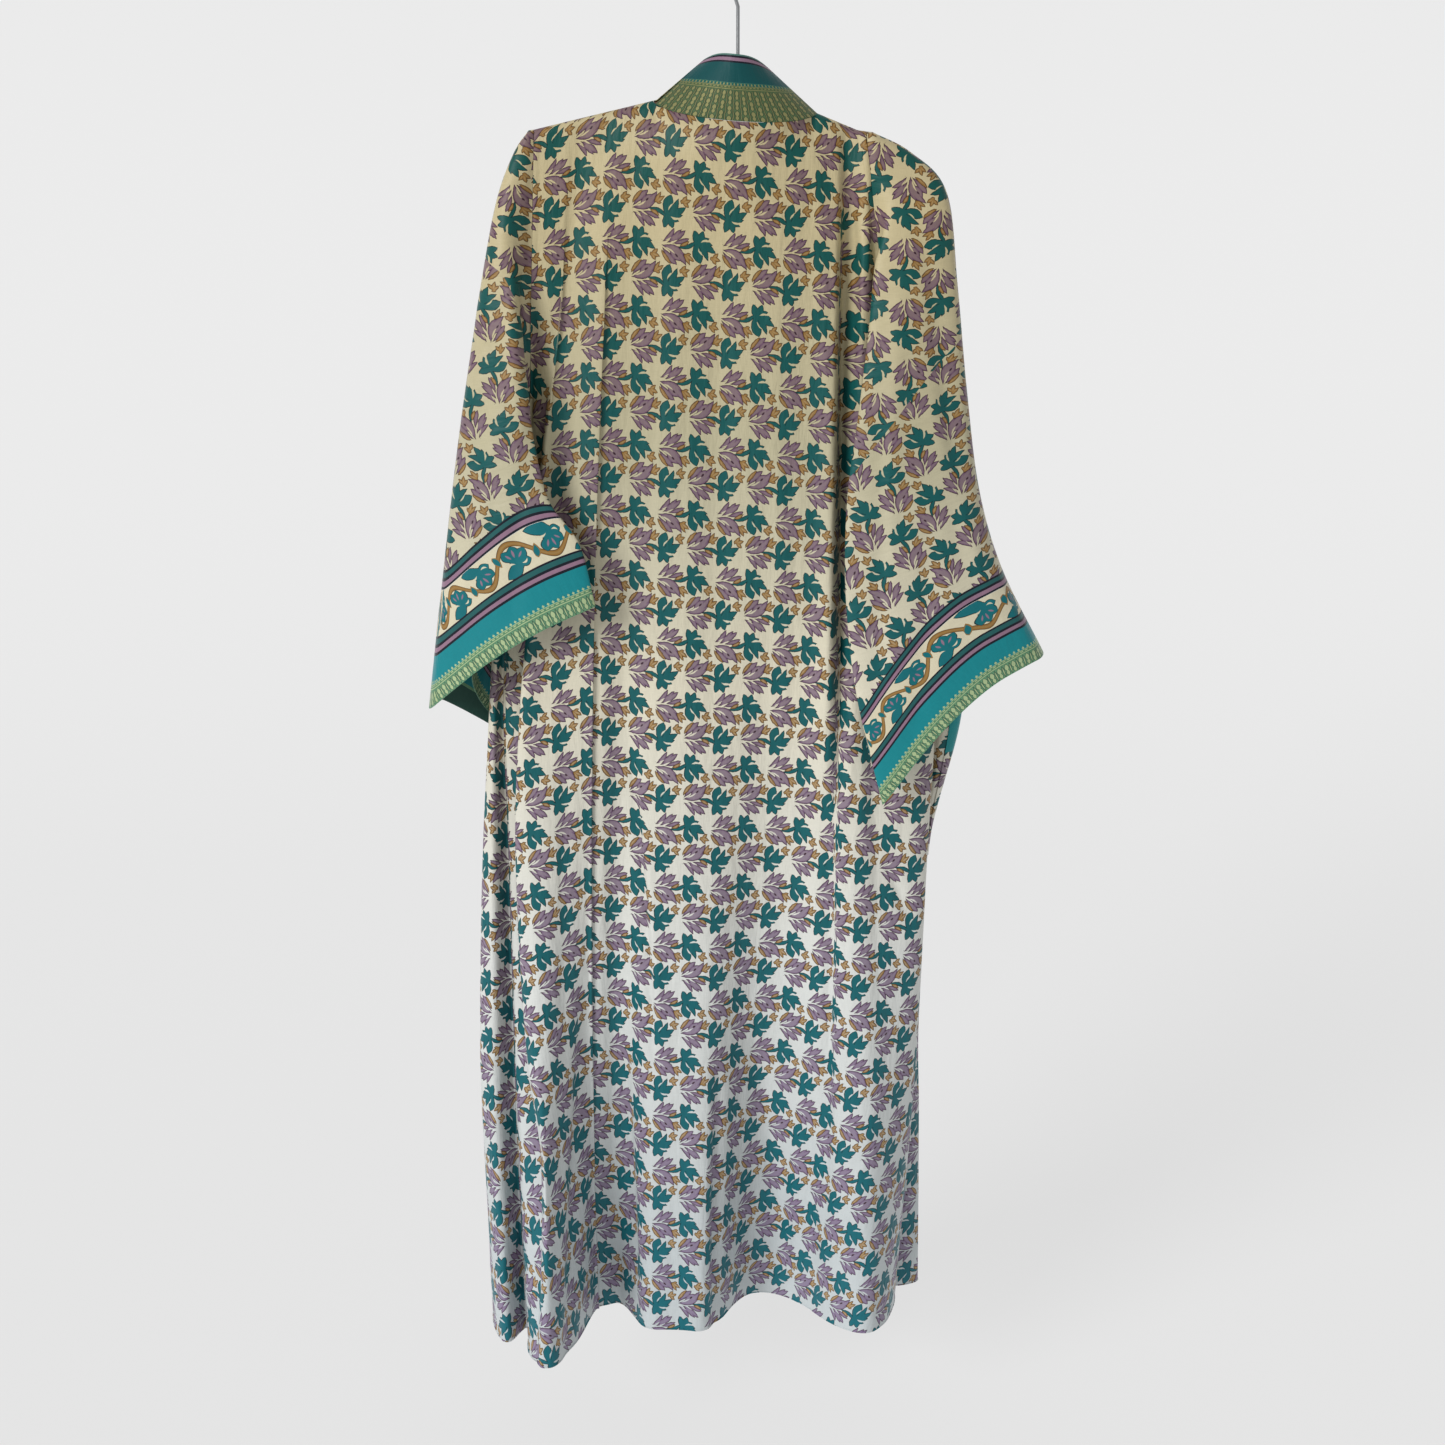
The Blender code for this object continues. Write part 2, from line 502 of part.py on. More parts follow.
def back_band(back_rows):
    """Stretch of the band round the back neck, made from the top edge of the back."""
    rows = []
    edge = [p for p in back_rows[0] if NECK_LEFT - SEAM_REACH < p.x < NECK_RIGHT + SEAM_REACH]
    for share in BAND_SHARES:
        row = []
        for p in edge:
            start = p + Vector((0, 0, SEAM_GAP + WALL / 2))
            row.append(start.lerp(band_free_edge(p), share))
        rows.append(row)
    return rows


def front_band(side, front_rows):
    """Stretch of the band down one front, made from the front's edge."""
    rows = []
    top = front_rows[0][-1]
    free_top = band_free_edge(top) + Vector((0, WALL, 0))
    for points, body_row in zip(front_rows, body_rows()):
        distance = body_row[0]
        seam = points[-1] + Vector((-side * SEAM_GAP, 0, 0))
        start = seam + Vector((-side * SEAM_TURN, 0, 0))
        start.z += shoulder_height(start.x) - shoulder_height(seam.x)
        t = smooth_share(distance / BAND_FALL)
        flat = Vector((side * BAND_FRONT_GAP, seam.y, seam.z))
        upright = free_top + Vector((0, min(distance, BAND_LEAN_REACH) * BAND_LEAN, -distance))
        free = upright.lerp(flat, t)
        rows.append([seam, start] + [start.lerp(free, share) for share in BAND_SHARES[1:]])
    return rows


def pocket(side, front_rows):
    """Patch pocket from the points of the front, moved out past its wall."""
    first = min(k for k, row in enumerate(front_rows) if row[-1].z <= POCKET_TOP)
    last = max(k for k, row in enumerate(front_rows) if row[-1].z >= POCKET_BOTTOM)
    rows = []
    for j in range(first, last + 1):
        row = []
        for i in range(POCKET_FIRST_COLUMN[side], POCKET_LAST_COLUMN + 1):
            here = front_rows[j][i]
            steps = (here - front_rows[j][i - 1], front_rows[j][i + 1] - here)
            into, out = (Vector((side * step.y, -side * step.x, 0)).normalized() for step in steps)
            middle = (into + out).normalized()
            row.append(here + middle * (WALL + 2 * SEAM_GAP) / middle.dot(into))
        rows.append(row)
    return rows


def material(name, colour, roughness, metallic=0.0):
    """Plain surface of one sub-part."""
    made = bpy.data.materials.new(name)
    made.use_nodes = True
    shader = made.node_tree.nodes["Principled BSDF"]
    shader.inputs["Base Color"].default_value = colour
    shader.inputs["Roughness"].default_value = roughness
    shader.inputs["Metallic"].default_value = metallic
    return made


def add_cloth(name, rows, colour, parts, closed=False):
    """One cloth piece: a grid moved onto rows of points, closed into a tube where asked, with a solid wall."""
    columns = len(rows[0]) + (1 if closed else 0)
    bm = bmesh.new()
    bmesh.ops.create_grid(bm, x_segments=columns - 1, y_segments=len(rows) - 1, size=1.0)
    bm.verts.ensure_lookup_table()
    for index, vertex in enumerate(bm.verts):
        row, column = divmod(index, columns)
        vertex.co = rows[row][column % len(rows[0])]
    if closed:
        bmesh.ops.remove_doubles(bm, verts=bm.verts, dist=1e-6)
    mesh = bpy.data.meshes.new(name)
    bm.to_mesh(mesh)
    bm.free()
    mesh.shade_smooth()
    piece = bpy.data.objects.new(name, mesh)
    piece.data.materials.append(material(name + "_cloth", colour, 0.55))
    wall = piece.modifiers.new("wall", "SOLIDIFY")
    wall.thickness = WALL
    wall.offset = 0.0
    parts.objects.link(piece)
    return piece


def add_rod(name, points, radius, colour, metallic, parts):
    """Round rod along a line of points, closed at both ends."""
    curve = bpy.data.curves.new(name, "CURVE")
    curve.dimensions = "3D"
    curve.bevel_depth = radius
    curve.bevel_resolution = 2
    curve.use_fill_caps = True
    spline = curve.splines.new("POLY")
    spline.points.add(len(points) - 1)
    for target, p in zip(spline.points, points):
        target.co = (p.x, p.y, p.z, 1.0)
    rod = bpy.data.objects.new(name, curve)
    curve.materials.append(material(name + "_finish", colour, 0.4, metallic))
    parts.objects.link(rod)
    return rod


def bar_line():
    """Centre line of the hanger's bar, under the shoulders and rounded over the middle."""
    drop = BAR_RADIUS + BAR_CLEARANCE + WALL / 2
    points = []
    for x in (BAR_LEFT_TIP, -BAR_STATIONS[1], -BAR_STATIONS[0]):
        points.append(Vector((x, 0, shoulder_height(x) - drop)))
    apex = shoulder_height(0.0) - drop
    for share in (-1.0, -0.5, 0.0, 0.5, 1.0):
        x = share * BAR_BEND
        flat = apex - BAR_BEND * math.tan(SHOULDER_SLOPE) / 2 * (1 + share * share)
        points.append(Vector((x, 0, flat - x * math.tan(HANGER_TILT))))
    for x in (*BAR_STATIONS, BAR_RIGHT_TIP):
        points.append(Vector((x, 0, shoulder_height(x) - drop)))
    return points


def hook_line(bar_top):
    """Centre line of the hook: a straight shank, a bend to the left and an arc over the rail."""
    radius = HOOK_RADIUS + WIRE_RADIUS
    centre = -HOOK_RADIUS
    points = [Vector((0, 0, z)) for z in (bar_top + SEAM_GAP + HOOK_SEAT, SHANK_TOP - SHANK_STRAIGHT, SHANK_TOP)]
    for share in SHANK_SHARES:
        points.append(Vector((-radius * share ** SHANK_BOW, 0, SHANK_TOP + (centre - SHANK_TOP) * share)))
    for k in range(HOOK_STEPS + 1):
        angle = math.pi + (HOOK_END_ANGLE - math.pi) * k / HOOK_STEPS
        points.append(Vector((radius * math.cos(angle), 0, centre + radius * math.sin(angle))))
    return points


def main():
    for old in list(bpy.data.objects):
        bpy.data.objects.remove(old)
    parts = bpy.data.collections.new(COLLECTION)
    bpy.context.scene.collection.children.link(parts)

    back = body_panel(back_section, -1, True)
    add_cloth("back", back, SILK, parts)
    for side, word in ((-1, "left"), (1, "right")):
        front = body_panel(lambda z: front_section(side, z), 1, False)
        add_cloth("front_" + word, front, SILK, parts)
        add_cloth("sleeve_" + word, sleeve(side, back, front), SLEEVE_SILK, parts, closed=True)
        add_cloth("neckband_" + word, front_band(side, front), BAND_TEAL, parts)
        add_cloth("pocket_" + word, pocket(side, front), POCKET_TEAL, parts)
    add_cloth("neckband_back", back_band(back), BAND_TEAL, parts)

    bar = bar_line()
    add_rod("hanger", bar, BAR_RADIUS, BAR_BROWN, 0.0, parts)
    bar_top = max(p.z for p in bar) + BAR_RADIUS
    add_rod("hanger_hook", hook_line(bar_top), WIRE_RADIUS, STEEL, 1.0, parts)


main()
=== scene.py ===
"""Looks of a long robe of kimono cut in printed silk, hung on a plain bar hanger and seen from its back.

Metres, +Z up. The back of the robe faces -Y, and left and right are those of someone who looks at the back.
"""
import math
from collections import namedtuple
from functools import lru_cache

import bmesh
import bpy
import numpy as np
from bpy.props import FloatProperty, FloatVectorProperty, PointerProperty
from bpy.types import Operator, Panel, PropertyGroup
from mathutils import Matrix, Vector


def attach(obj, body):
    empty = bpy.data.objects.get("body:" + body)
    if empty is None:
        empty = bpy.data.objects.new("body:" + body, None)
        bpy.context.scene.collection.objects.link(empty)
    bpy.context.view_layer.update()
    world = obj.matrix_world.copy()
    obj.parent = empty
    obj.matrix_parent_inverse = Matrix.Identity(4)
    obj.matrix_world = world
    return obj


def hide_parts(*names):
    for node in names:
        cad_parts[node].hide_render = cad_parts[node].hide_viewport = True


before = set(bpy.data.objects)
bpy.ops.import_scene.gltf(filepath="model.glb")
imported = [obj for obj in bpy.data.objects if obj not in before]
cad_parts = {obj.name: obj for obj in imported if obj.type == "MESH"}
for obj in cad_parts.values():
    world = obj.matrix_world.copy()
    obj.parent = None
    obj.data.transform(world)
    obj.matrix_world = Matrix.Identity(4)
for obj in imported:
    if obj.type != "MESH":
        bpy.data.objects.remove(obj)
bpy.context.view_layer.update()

bl_info = {
    "name": "Kimono robe in printed silk",
    "version": (1, 0, 0),
    "blender": (4, 5, 0),
    "location": "3D View > Sidebar > Robe",
    "description": "Sews the robe round its fixed frame, piece by piece, and sets the studio",
    "category": "Add Mesh",
}

# Cloth and seams
WALL = 0.0015
SEAM_GAP = 0.0003
ROBE_TOP = -0.1235
HEM = -1.470
UNDERARM = -0.440

# Hanger
BAR_RADIUS = 0.006
BAR_CLEARANCE = 0.0009
SHOULDER_SLOPE = math.radians(17.6)
HANGER_TILT = math.radians(4.8)
BAR_LEFT_TIP = -0.1650
BAR_RIGHT_TIP = 0.1500
BAR_BEND = 0.024
WIRE_RADIUS = 0.00175
HOOK_RADIUS = 0.020
SHANK_TOP = -0.056
SHANK_STRAIGHT = 0.020
SHANK_SHARES = (0.3, 0.6, 0.85)
SHANK_BOW = 1.5
HOOK_SEAT = 0.0002
HOOK_END_ANGLE = math.radians(-28)
BAR_STATIONS = (0.05, 0.10)

# Neck and band
NECK_LEFT = -0.0815
NECK_RIGHT = 0.0760
NECK_DEPTH = 0.036
NECK_DIP = 0.013
NECK_REACH = 0.030
NECK_EASE = 0.012
NAPE_HALF_WIDTH = 0.160
NAPE_REACH = 0.120
BAND_EDGE = 0.0700
BAND_FRONT_GAP = 0.0110
BAND_TOP = -0.0995
BAND_TOP_TILT = 0.100
BAND_END_DROP = 0.009
BAND_NARROW = 0.30
BAND_BACK_Y = -0.0130
BAND_SIDE_Y = 0.0100
BAND_FALL = 0.160
SEAM_TURN = 0.0030
SEAM_TURN_REACH = 0.120
SEAM_CLOSE_REACH = 0.240
ARMHOLE_OPENING = 0.140
UNDERARM_HALF = 0.0032
NECK_FALL = 0.25
BAND_FLARE = 0.10
BAND_LEAN = 0.4
BAND_LEAN_REACH = 0.020
SEAM_REACH = 0.001
# Angles by which the side edges of the back and of the front turn from inwards, below the armhole, on each
# side
SEAM_TURNS = {-1: (0, 180), 1: (90, 90)}

# Distance from the bar's centre to the middle of the cloth wall, and the shares of it that each row over
# the bar takes
WRAP = BAR_RADIUS + BAR_CLEARANCE + WALL / 2
CORNER_CUT = 0.25

# Turn-backs of the fold at the left of the back: least step across each, then shares of the fold's gap,
# across and back
FOLD_STEP = 0.003
FOLD_INNER = (0.3, 0.6)
FOLD_OUTER = (0.2, 1.0)

# Sides of the back at each level, from the side seam inwards: the seam, the strip outside the fold, the
# cloth under the fold, the fold itself and its gap
SideRow = namedtuple("SideRow", "z seam_x seam_y out_x out_y under_x under_y fold_x fold_y fold_gap")
LEFT_BACK = [
    SideRow(-0.130, -0.1975, -0.0075, -0.191, -0.0075, -0.184, -0.0075, -0.170, -0.0075, 0.000),
    SideRow(-0.300, -0.2035, -0.0120, -0.198, -0.0130, -0.190, -0.0140, -0.175, -0.0150, 0.001),
    SideRow(-0.440, -0.2100, +0.0000, -0.205, -0.0060, -0.195, -0.0120, -0.193, -0.0190, 0.005),
    SideRow(-0.550, -0.2260, +0.0010, -0.223, -0.0060, -0.187, -0.0130, -0.207, -0.0240, 0.010),
    SideRow(-0.650, -0.2370, +0.0010, -0.234, -0.0070, -0.184, -0.0150, -0.216, -0.0260, 0.010),
    SideRow(-0.750, -0.2440, +0.0010, -0.241, -0.0080, -0.184, -0.0160, -0.226, -0.0290, 0.010),
    SideRow(-0.900, -0.2430, +0.0000, -0.242, -0.0100, -0.188, -0.0180, -0.234, -0.0310, 0.011),
    SideRow(-1.130, -0.2425, -0.0040, -0.241, -0.0200, -0.196, -0.0340, -0.226, -0.0480, 0.012),
    SideRow(-1.240, -0.2415, -0.0110, -0.238, -0.0400, -0.206, -0.0530, -0.212, -0.0650, 0.012),
    SideRow(-1.470, -0.2350, -0.0280, -0.230, -0.0730, -0.224, -0.0900, -0.215, -0.1030, 0.006),
]
RIGHT_BACK = [
    SideRow(-0.130, 0.1240, -0.0075, 0.119, -0.0075, 0.114, -0.0075, 0.108, -0.0075, 0.000),
    SideRow(-0.300, 0.1480, -0.0120, 0.143, -0.0140, 0.137, -0.0170, 0.130, -0.0200, 0.000),
    SideRow(-0.440, 0.1740, +0.0000, 0.169, -0.0080, 0.162, -0.0130, 0.153, -0.0160, 0.000),
    SideRow(-0.550, 0.1930, +0.0010, 0.190, -0.0080, 0.181, -0.0150, 0.170, -0.0180, 0.000),
    SideRow(-0.650, 0.2050, +0.0010, 0.203, -0.0090, 0.194, -0.0160, 0.182, -0.0210, 0.000),
    SideRow(-0.750, 0.2080, +0.0010, 0.207, -0.0100, 0.199, -0.0190, 0.186, -0.0240, 0.000),
    SideRow(-0.900, 0.2010, +0.0020, 0.204, -0.0100, 0.196, -0.0200, 0.184, -0.0250, 0.000),
    SideRow(-1.130, 0.1930, +0.0180, 0.200, +0.0040, 0.194, -0.0080, 0.184, -0.0160, 0.000),
    SideRow(-1.240, 0.1880, +0.0300, 0.196, +0.0170, 0.192, +0.0020, 0.184, -0.0080, 0.000),
    SideRow(-1.470, 0.1760, +0.0580, 0.184, +0.0480, 0.183, +0.0280, 0.176, +0.0020, 0.000),
]

# Folds that run down the back, left to right: place and depth at the shoulder, half way down and at the hem
FoldRow = namedtuple("FoldRow", "name x_top x_mid x_hem y_top y_mid y_hem")
BACK_FOLDS = [
    FoldRow("left ridge", -0.152, -0.204, -0.196, -0.0075, -0.040, -0.106),
    FoldRow("left ridge foot", -0.136, -0.180, -0.178, -0.0075, -0.038, -0.066),
    FoldRow("long crease", -0.118, -0.150, -0.156, -0.0075, -0.030, +0.016),
    FoldRow("left trough", -0.094, -0.118, -0.128, -0.0075, -0.020, +0.030),
    FoldRow("middle ridge, left", -0.068, -0.088, -0.106, -0.0075, -0.034, -0.032),
    FoldRow("middle ridge", -0.042, -0.056, -0.066, -0.0075, -0.036, -0.030),
    FoldRow("middle ridge, right", -0.016, -0.022, -0.028, -0.0075, -0.035, -0.038),
    FoldRow("right trough, left", 0.012, 0.012, 0.004, -0.0075, -0.026, +0.040),
    FoldRow("right trough", 0.036, 0.042, 0.034, -0.0075, -0.022, +0.052),
    FoldRow("right trough, right", 0.056, 0.072, 0.070, -0.0075, -0.026, +0.032),
    FoldRow("right ridge", 0.072, 0.100, 0.108, -0.0075, -0.036, -0.022),
    FoldRow("right ridge, right", 0.086, 0.126, 0.146, -0.0075, -0.038, -0.044),
    FoldRow("right hollow", 0.098, 0.152, 0.168, -0.0075, -0.028, -0.020),
]

# Sides of the fronts at each level: where the cloth wraps round, its outermost line and where it turns to
# the front
FrontRow = namedtuple("FrontRow", "z wrap_x wrap_y outer_x outer_y turn_x turn_y")
LEFT_FRONT = [
    FrontRow(-0.130, -0.190, 0.0075, -0.182, 0.0075, -0.170, 0.0075),
    FrontRow(-0.300, -0.197, 0.0130, -0.189, 0.0150, -0.176, 0.0170),
    FrontRow(-0.440, -0.206, 0.0060, -0.203, 0.0130, -0.194, 0.0200),
    FrontRow(-0.550, -0.230, 0.0050, -0.235, 0.0090, -0.222, 0.0220),
    FrontRow(-0.650, -0.244, -0.0060, -0.251, 0.0040, -0.237, 0.0250),
    FrontRow(-0.750, -0.253, -0.0110, -0.262, 0.0020, -0.248, 0.0290),
    FrontRow(-0.900, -0.258, -0.0190, -0.275, -0.0020, -0.258, 0.0330),
    FrontRow(-1.130, -0.264, -0.0280, -0.285, -0.0040, -0.266, 0.0430),
    FrontRow(-1.240, -0.263, -0.0380, -0.285, -0.0050, -0.266, 0.0530),
    FrontRow(-1.470, -0.256, -0.0700, -0.280, +0.0000, -0.266, 0.0760),
]
RIGHT_FRONT = [
    FrontRow(-0.130, 0.119, 0.0075, 0.114, 0.0075, 0.107, 0.0075),
    FrontRow(-0.300, 0.143, 0.0140, 0.138, 0.0160, 0.129, 0.0190),
    FrontRow(-0.440, 0.170, 0.0060, 0.167, 0.0130, 0.158, 0.0200),
    FrontRow(-0.550, 0.196, 0.0050, 0.200, 0.0100, 0.190, 0.0220),
    FrontRow(-0.650, 0.212, -0.0050, 0.229, 0.0040, 0.215, 0.0260),
    FrontRow(-0.750, 0.219, -0.0070, 0.240, 0.0050, 0.224, 0.0300),
    FrontRow(-0.900, 0.205, 0.0080, 0.209, 0.0180, 0.200, 0.0340),
    FrontRow(-1.130, 0.200, 0.0260, 0.206, 0.0400, 0.194, 0.0520),
    FrontRow(-1.240, 0.202, 0.0400, 0.210, 0.0540, 0.197, 0.0660),
    FrontRow(-1.470, 0.200, 0.0640, 0.218, 0.0760, 0.202, 0.0900),
]

# Folds down each front between the side and the band: share of the way, depth at the top, half way down and
# at the hem
FrontFold = namedtuple("FrontFold", "share y_top y_mid y_hem")
LEFT_FRONT_FOLDS = [
    FrontFold(0.18, 0.0075, 0.036, 0.100),
    FrontFold(0.36, 0.0075, 0.028, 0.072),
    FrontFold(0.54, 0.0075, 0.034, 0.092),
    FrontFold(0.70, 0.0075, 0.036, 0.100),
    FrontFold(0.86, 0.0075, 0.030, 0.082),
]
RIGHT_FRONT_FOLDS = [
    FrontFold(0.18, 0.0075, 0.036, 0.106),
    FrontFold(0.36, 0.0075, 0.038, 0.112),
    FrontFold(0.54, 0.0075, 0.030, 0.094),
    FrontFold(0.70, 0.0075, 0.032, 0.090),
    FrontFold(0.86, 0.0075, 0.036, 0.098),
]
# Depth of the band's seam at the top, half way down and at the hem
BAND_LINE_Y = (0.0075, 0.032, 0.086)

# Sleeve rings from the armhole to the wrist: top fold, fold that lies over the back, near side of the
# underarm notch, fold that lies over the front; then half widths of the top fold and of the notch, how far
# the notch's far side hangs below its near side, how far the two faces stand out and how far the near one
# is lifted between its ends
RingRow = namedtuple("RingRow", "top lap notch lap_front cap half drop near_out far_out lift")
LEFT_RINGS = [
    RingRow((-0.218, 0.000, -0.192), (-0.213, -0.020, -0.315), (-0.2260, -0.008, -0.448),
            (-0.211, 0.022, -0.330), 0.0100, 0.006, 0.004, 0.006, 0.006, 0.0),
    RingRow((-0.236, 0.000, -0.238), (-0.211, -0.034, -0.375), (-0.2370, -0.018, -0.485),
            (-0.210, 0.036, -0.400), 0.0140, 0.018, 0.010, 0.012, 0.010, 0.0),
    RingRow((-0.253, -0.003, -0.318), (-0.205, -0.044, -0.430), (-0.2460, -0.026, -0.535),
            (-0.204, 0.046, -0.500), 0.0180, 0.026, 0.020, 0.014, 0.010, 0.0),
    RingRow((-0.274, -0.005, -0.430), (-0.196, -0.050, -0.490), (-0.2530, -0.032, -0.595),
            (-0.192, 0.050, -0.610), 0.0220, 0.032, 0.030, 0.014, 0.010, 0.0),
    RingRow((-0.292, -0.005, -0.545), (-0.184, -0.056, -0.528), (-0.2620, -0.036, -0.635),
            (-0.176, 0.054, -0.700), 0.0260, 0.036, 0.040, 0.014, 0.012, 0.0),
    RingRow((-0.307, -0.003, -0.655), (-0.157, -0.060, -0.566), (-0.2690, -0.038, -0.665),
            (-0.166, 0.058, -0.790), 0.0300, 0.038, 0.050, 0.014, 0.014, 0.008),
    RingRow((-0.320, 0.000, -0.748), (-0.142, -0.062, -0.628), (-0.2750, -0.038, -0.690),
            (-0.158, 0.062, -0.862), 0.0320, 0.038, 0.070, 0.016, 0.016, 0.016),
]
RIGHT_RINGS = [
    RingRow((0.168, 0.000, -0.1905), (0.135, -0.025, -0.290), (0.1900, -0.012, -0.448),
            (0.145, 0.026, -0.320), 0.0077, 0.012, 0.004, 0.006, 0.006, 0.0),
    RingRow((0.204, 0.000, -0.228), (0.128, -0.036, -0.360), (0.2040, -0.020, -0.485),
            (0.148, 0.038, -0.400), 0.0120, 0.020, 0.004, 0.010, 0.010, 0.0),
    RingRow((0.217, -0.003, -0.318), (0.119, -0.044, -0.440), (0.2170, -0.026, -0.535),
            (0.152, 0.046, -0.480), 0.0180, 0.026, 0.004, 0.012, 0.010, 0.0),
    RingRow((0.229, -0.005, -0.420), (0.109, -0.050, -0.525), (0.2280, -0.032, -0.580),
            (0.156, 0.050, -0.570), 0.0220, 0.032, 0.004, 0.012, 0.010, 0.0),
    RingRow((0.2445, -0.005, -0.520), (0.109, -0.054, -0.620), (0.2380, -0.034, -0.620),
            (0.160, 0.054, -0.640), 0.0260, 0.034, 0.004, 0.012, 0.012, 0.006),
    RingRow((0.271, -0.003, -0.602), (0.122, -0.056, -0.725), (0.2440, -0.036, -0.650),
            (0.164, 0.056, -0.700), 0.0260, 0.036, 0.004, 0.014, 0.014, 0.018),
    RingRow((0.317, 0.000, -0.690), (0.150, -0.058, -0.838), (0.2480, -0.038, -0.668),
            (0.176, 0.058, -0.740), 0.0240, 0.038, 0.004, 0.014, 0.016, 0.032),
]
ARMHOLE_SHARES = (0.14, 0.28, 0.40, 0.50, 0.76, 1.0)

SLOPE_REACH = 0.30
NEAR_SHARES = (0.12, 0.38, 0.70)
LAP_THICKNESS = 0.008
LAP_MIDDLE = 0.55
BULGE_SKEW = 1.1
BULGE_ROUND = 0.5
SLEEVE_START = 0.0015
EASE_OUT = 0.0045
EASE_OFF = 0.0035

# Rows and smoothing of the pieces as shown
OVER_BAR_ROWS = 5
ROW_PITCH = 0.0075
LAST_DROP = 1.3445
SHOULDER_SEAM = 0.0001
SMOOTHING = 3
SLEEVE_RINGS = 96
SLEEVE_BODY_ROWS = 84
CUFF_ROWS = 18

# Height of the border at the wrist and width of the neckband, then their bands of colour from the edge
# inwards, in millimetres. The vine is drawn in the widest band of the wrist.
CUFF = 0.101
BAND_WIDTH = 0.071
Band = namedtuple("Band", "width tone")
STRIPES = [
    Band(2.2, "stripe_black"),
    Band(3.7, "stripe_lilac"),
    Band(2.5, "stripe_black"),
    Band(4.0, "stripe_teal"),
    Band(2.1, "stripe_black"),
]
CUFF_BANDS = [Band(20.5, "zari"), Band(18.0, "cuff_teal"), *STRIPES, Band(33.5, "ground_low"), *STRIPES]
CUFF_INSIDE = [
    Band(20.5, "inside_green"),
    Band(2.4, "zari"),
    Band(15.6, "cuff_teal"),
    *STRIPES,
    Band(48.0, "ground_low"),
]
NECKBAND_BANDS = [
    Band(40.0, "zari"),
    Band(21.5, "band_teal"),
    Band(1.8, "stripe_black"),
    Band(3.8, "stripe_lilac"),
    Band(2.0, "stripe_black"),
    Band(1.9, "band_edge"),
]
VINE_START = 53.0
VINE_WIDTH = 33.5

# Long fold of the back where the print is cut: the left side laps over the right one
LAP_FOLD = 2
LAP_OVER = 0.0012
LAP_UNDER = 0.0060
LAP_LIFT = 0.0030
LAP_LEVELS = (-0.20, -0.36)
# Controls of the back between the seam's own and the first fold, and those of the lapped fold
SIDE_CONTROLS = 5
LAP_CONTROLS = 4

# Valley of the back beside the right sleeve, and how much of the print it hides
VALLEY_EDGE = 0.1010
VALLEY_LEVELS = (-0.20, -0.30, -0.90, -1.20)
VALLEY_HIDES = 0.021
VALLEY_STEP = 0.004

# Print: the column that hangs through the middle, one of its motifs, and how far the rows fall to each side
GRAIN_FOLD = 5
GRAIN_LEVEL = -0.3786
ROW_FALL = (math.radians(4.6), math.radians(2.5))
ROW_FALL_LEFT = (math.radians(6), math.radians(13))

# Print of the sleeves: point that the grain bends round, its distance, and down to which share of the rows
# the print is turned about. Height of the wrist's border as a share of its cut: least, more at the top fold,
# and how that fades. Share of a ring's controls at which its columns start.
GRAIN_MIDDLE = {-1: (0.700, -0.250), 1: (1.080, -0.300)}
GRAIN_REACH = 0.950
TURN_SHARE = {-1: 0.30, 1: 0.50}
CUFF_SPREAD = {-1: (0.92, 0.55), 1: (1.0, 0.0)}
CUFF_SPREAD_FADE = 1.3
RING_START = 15 / 32

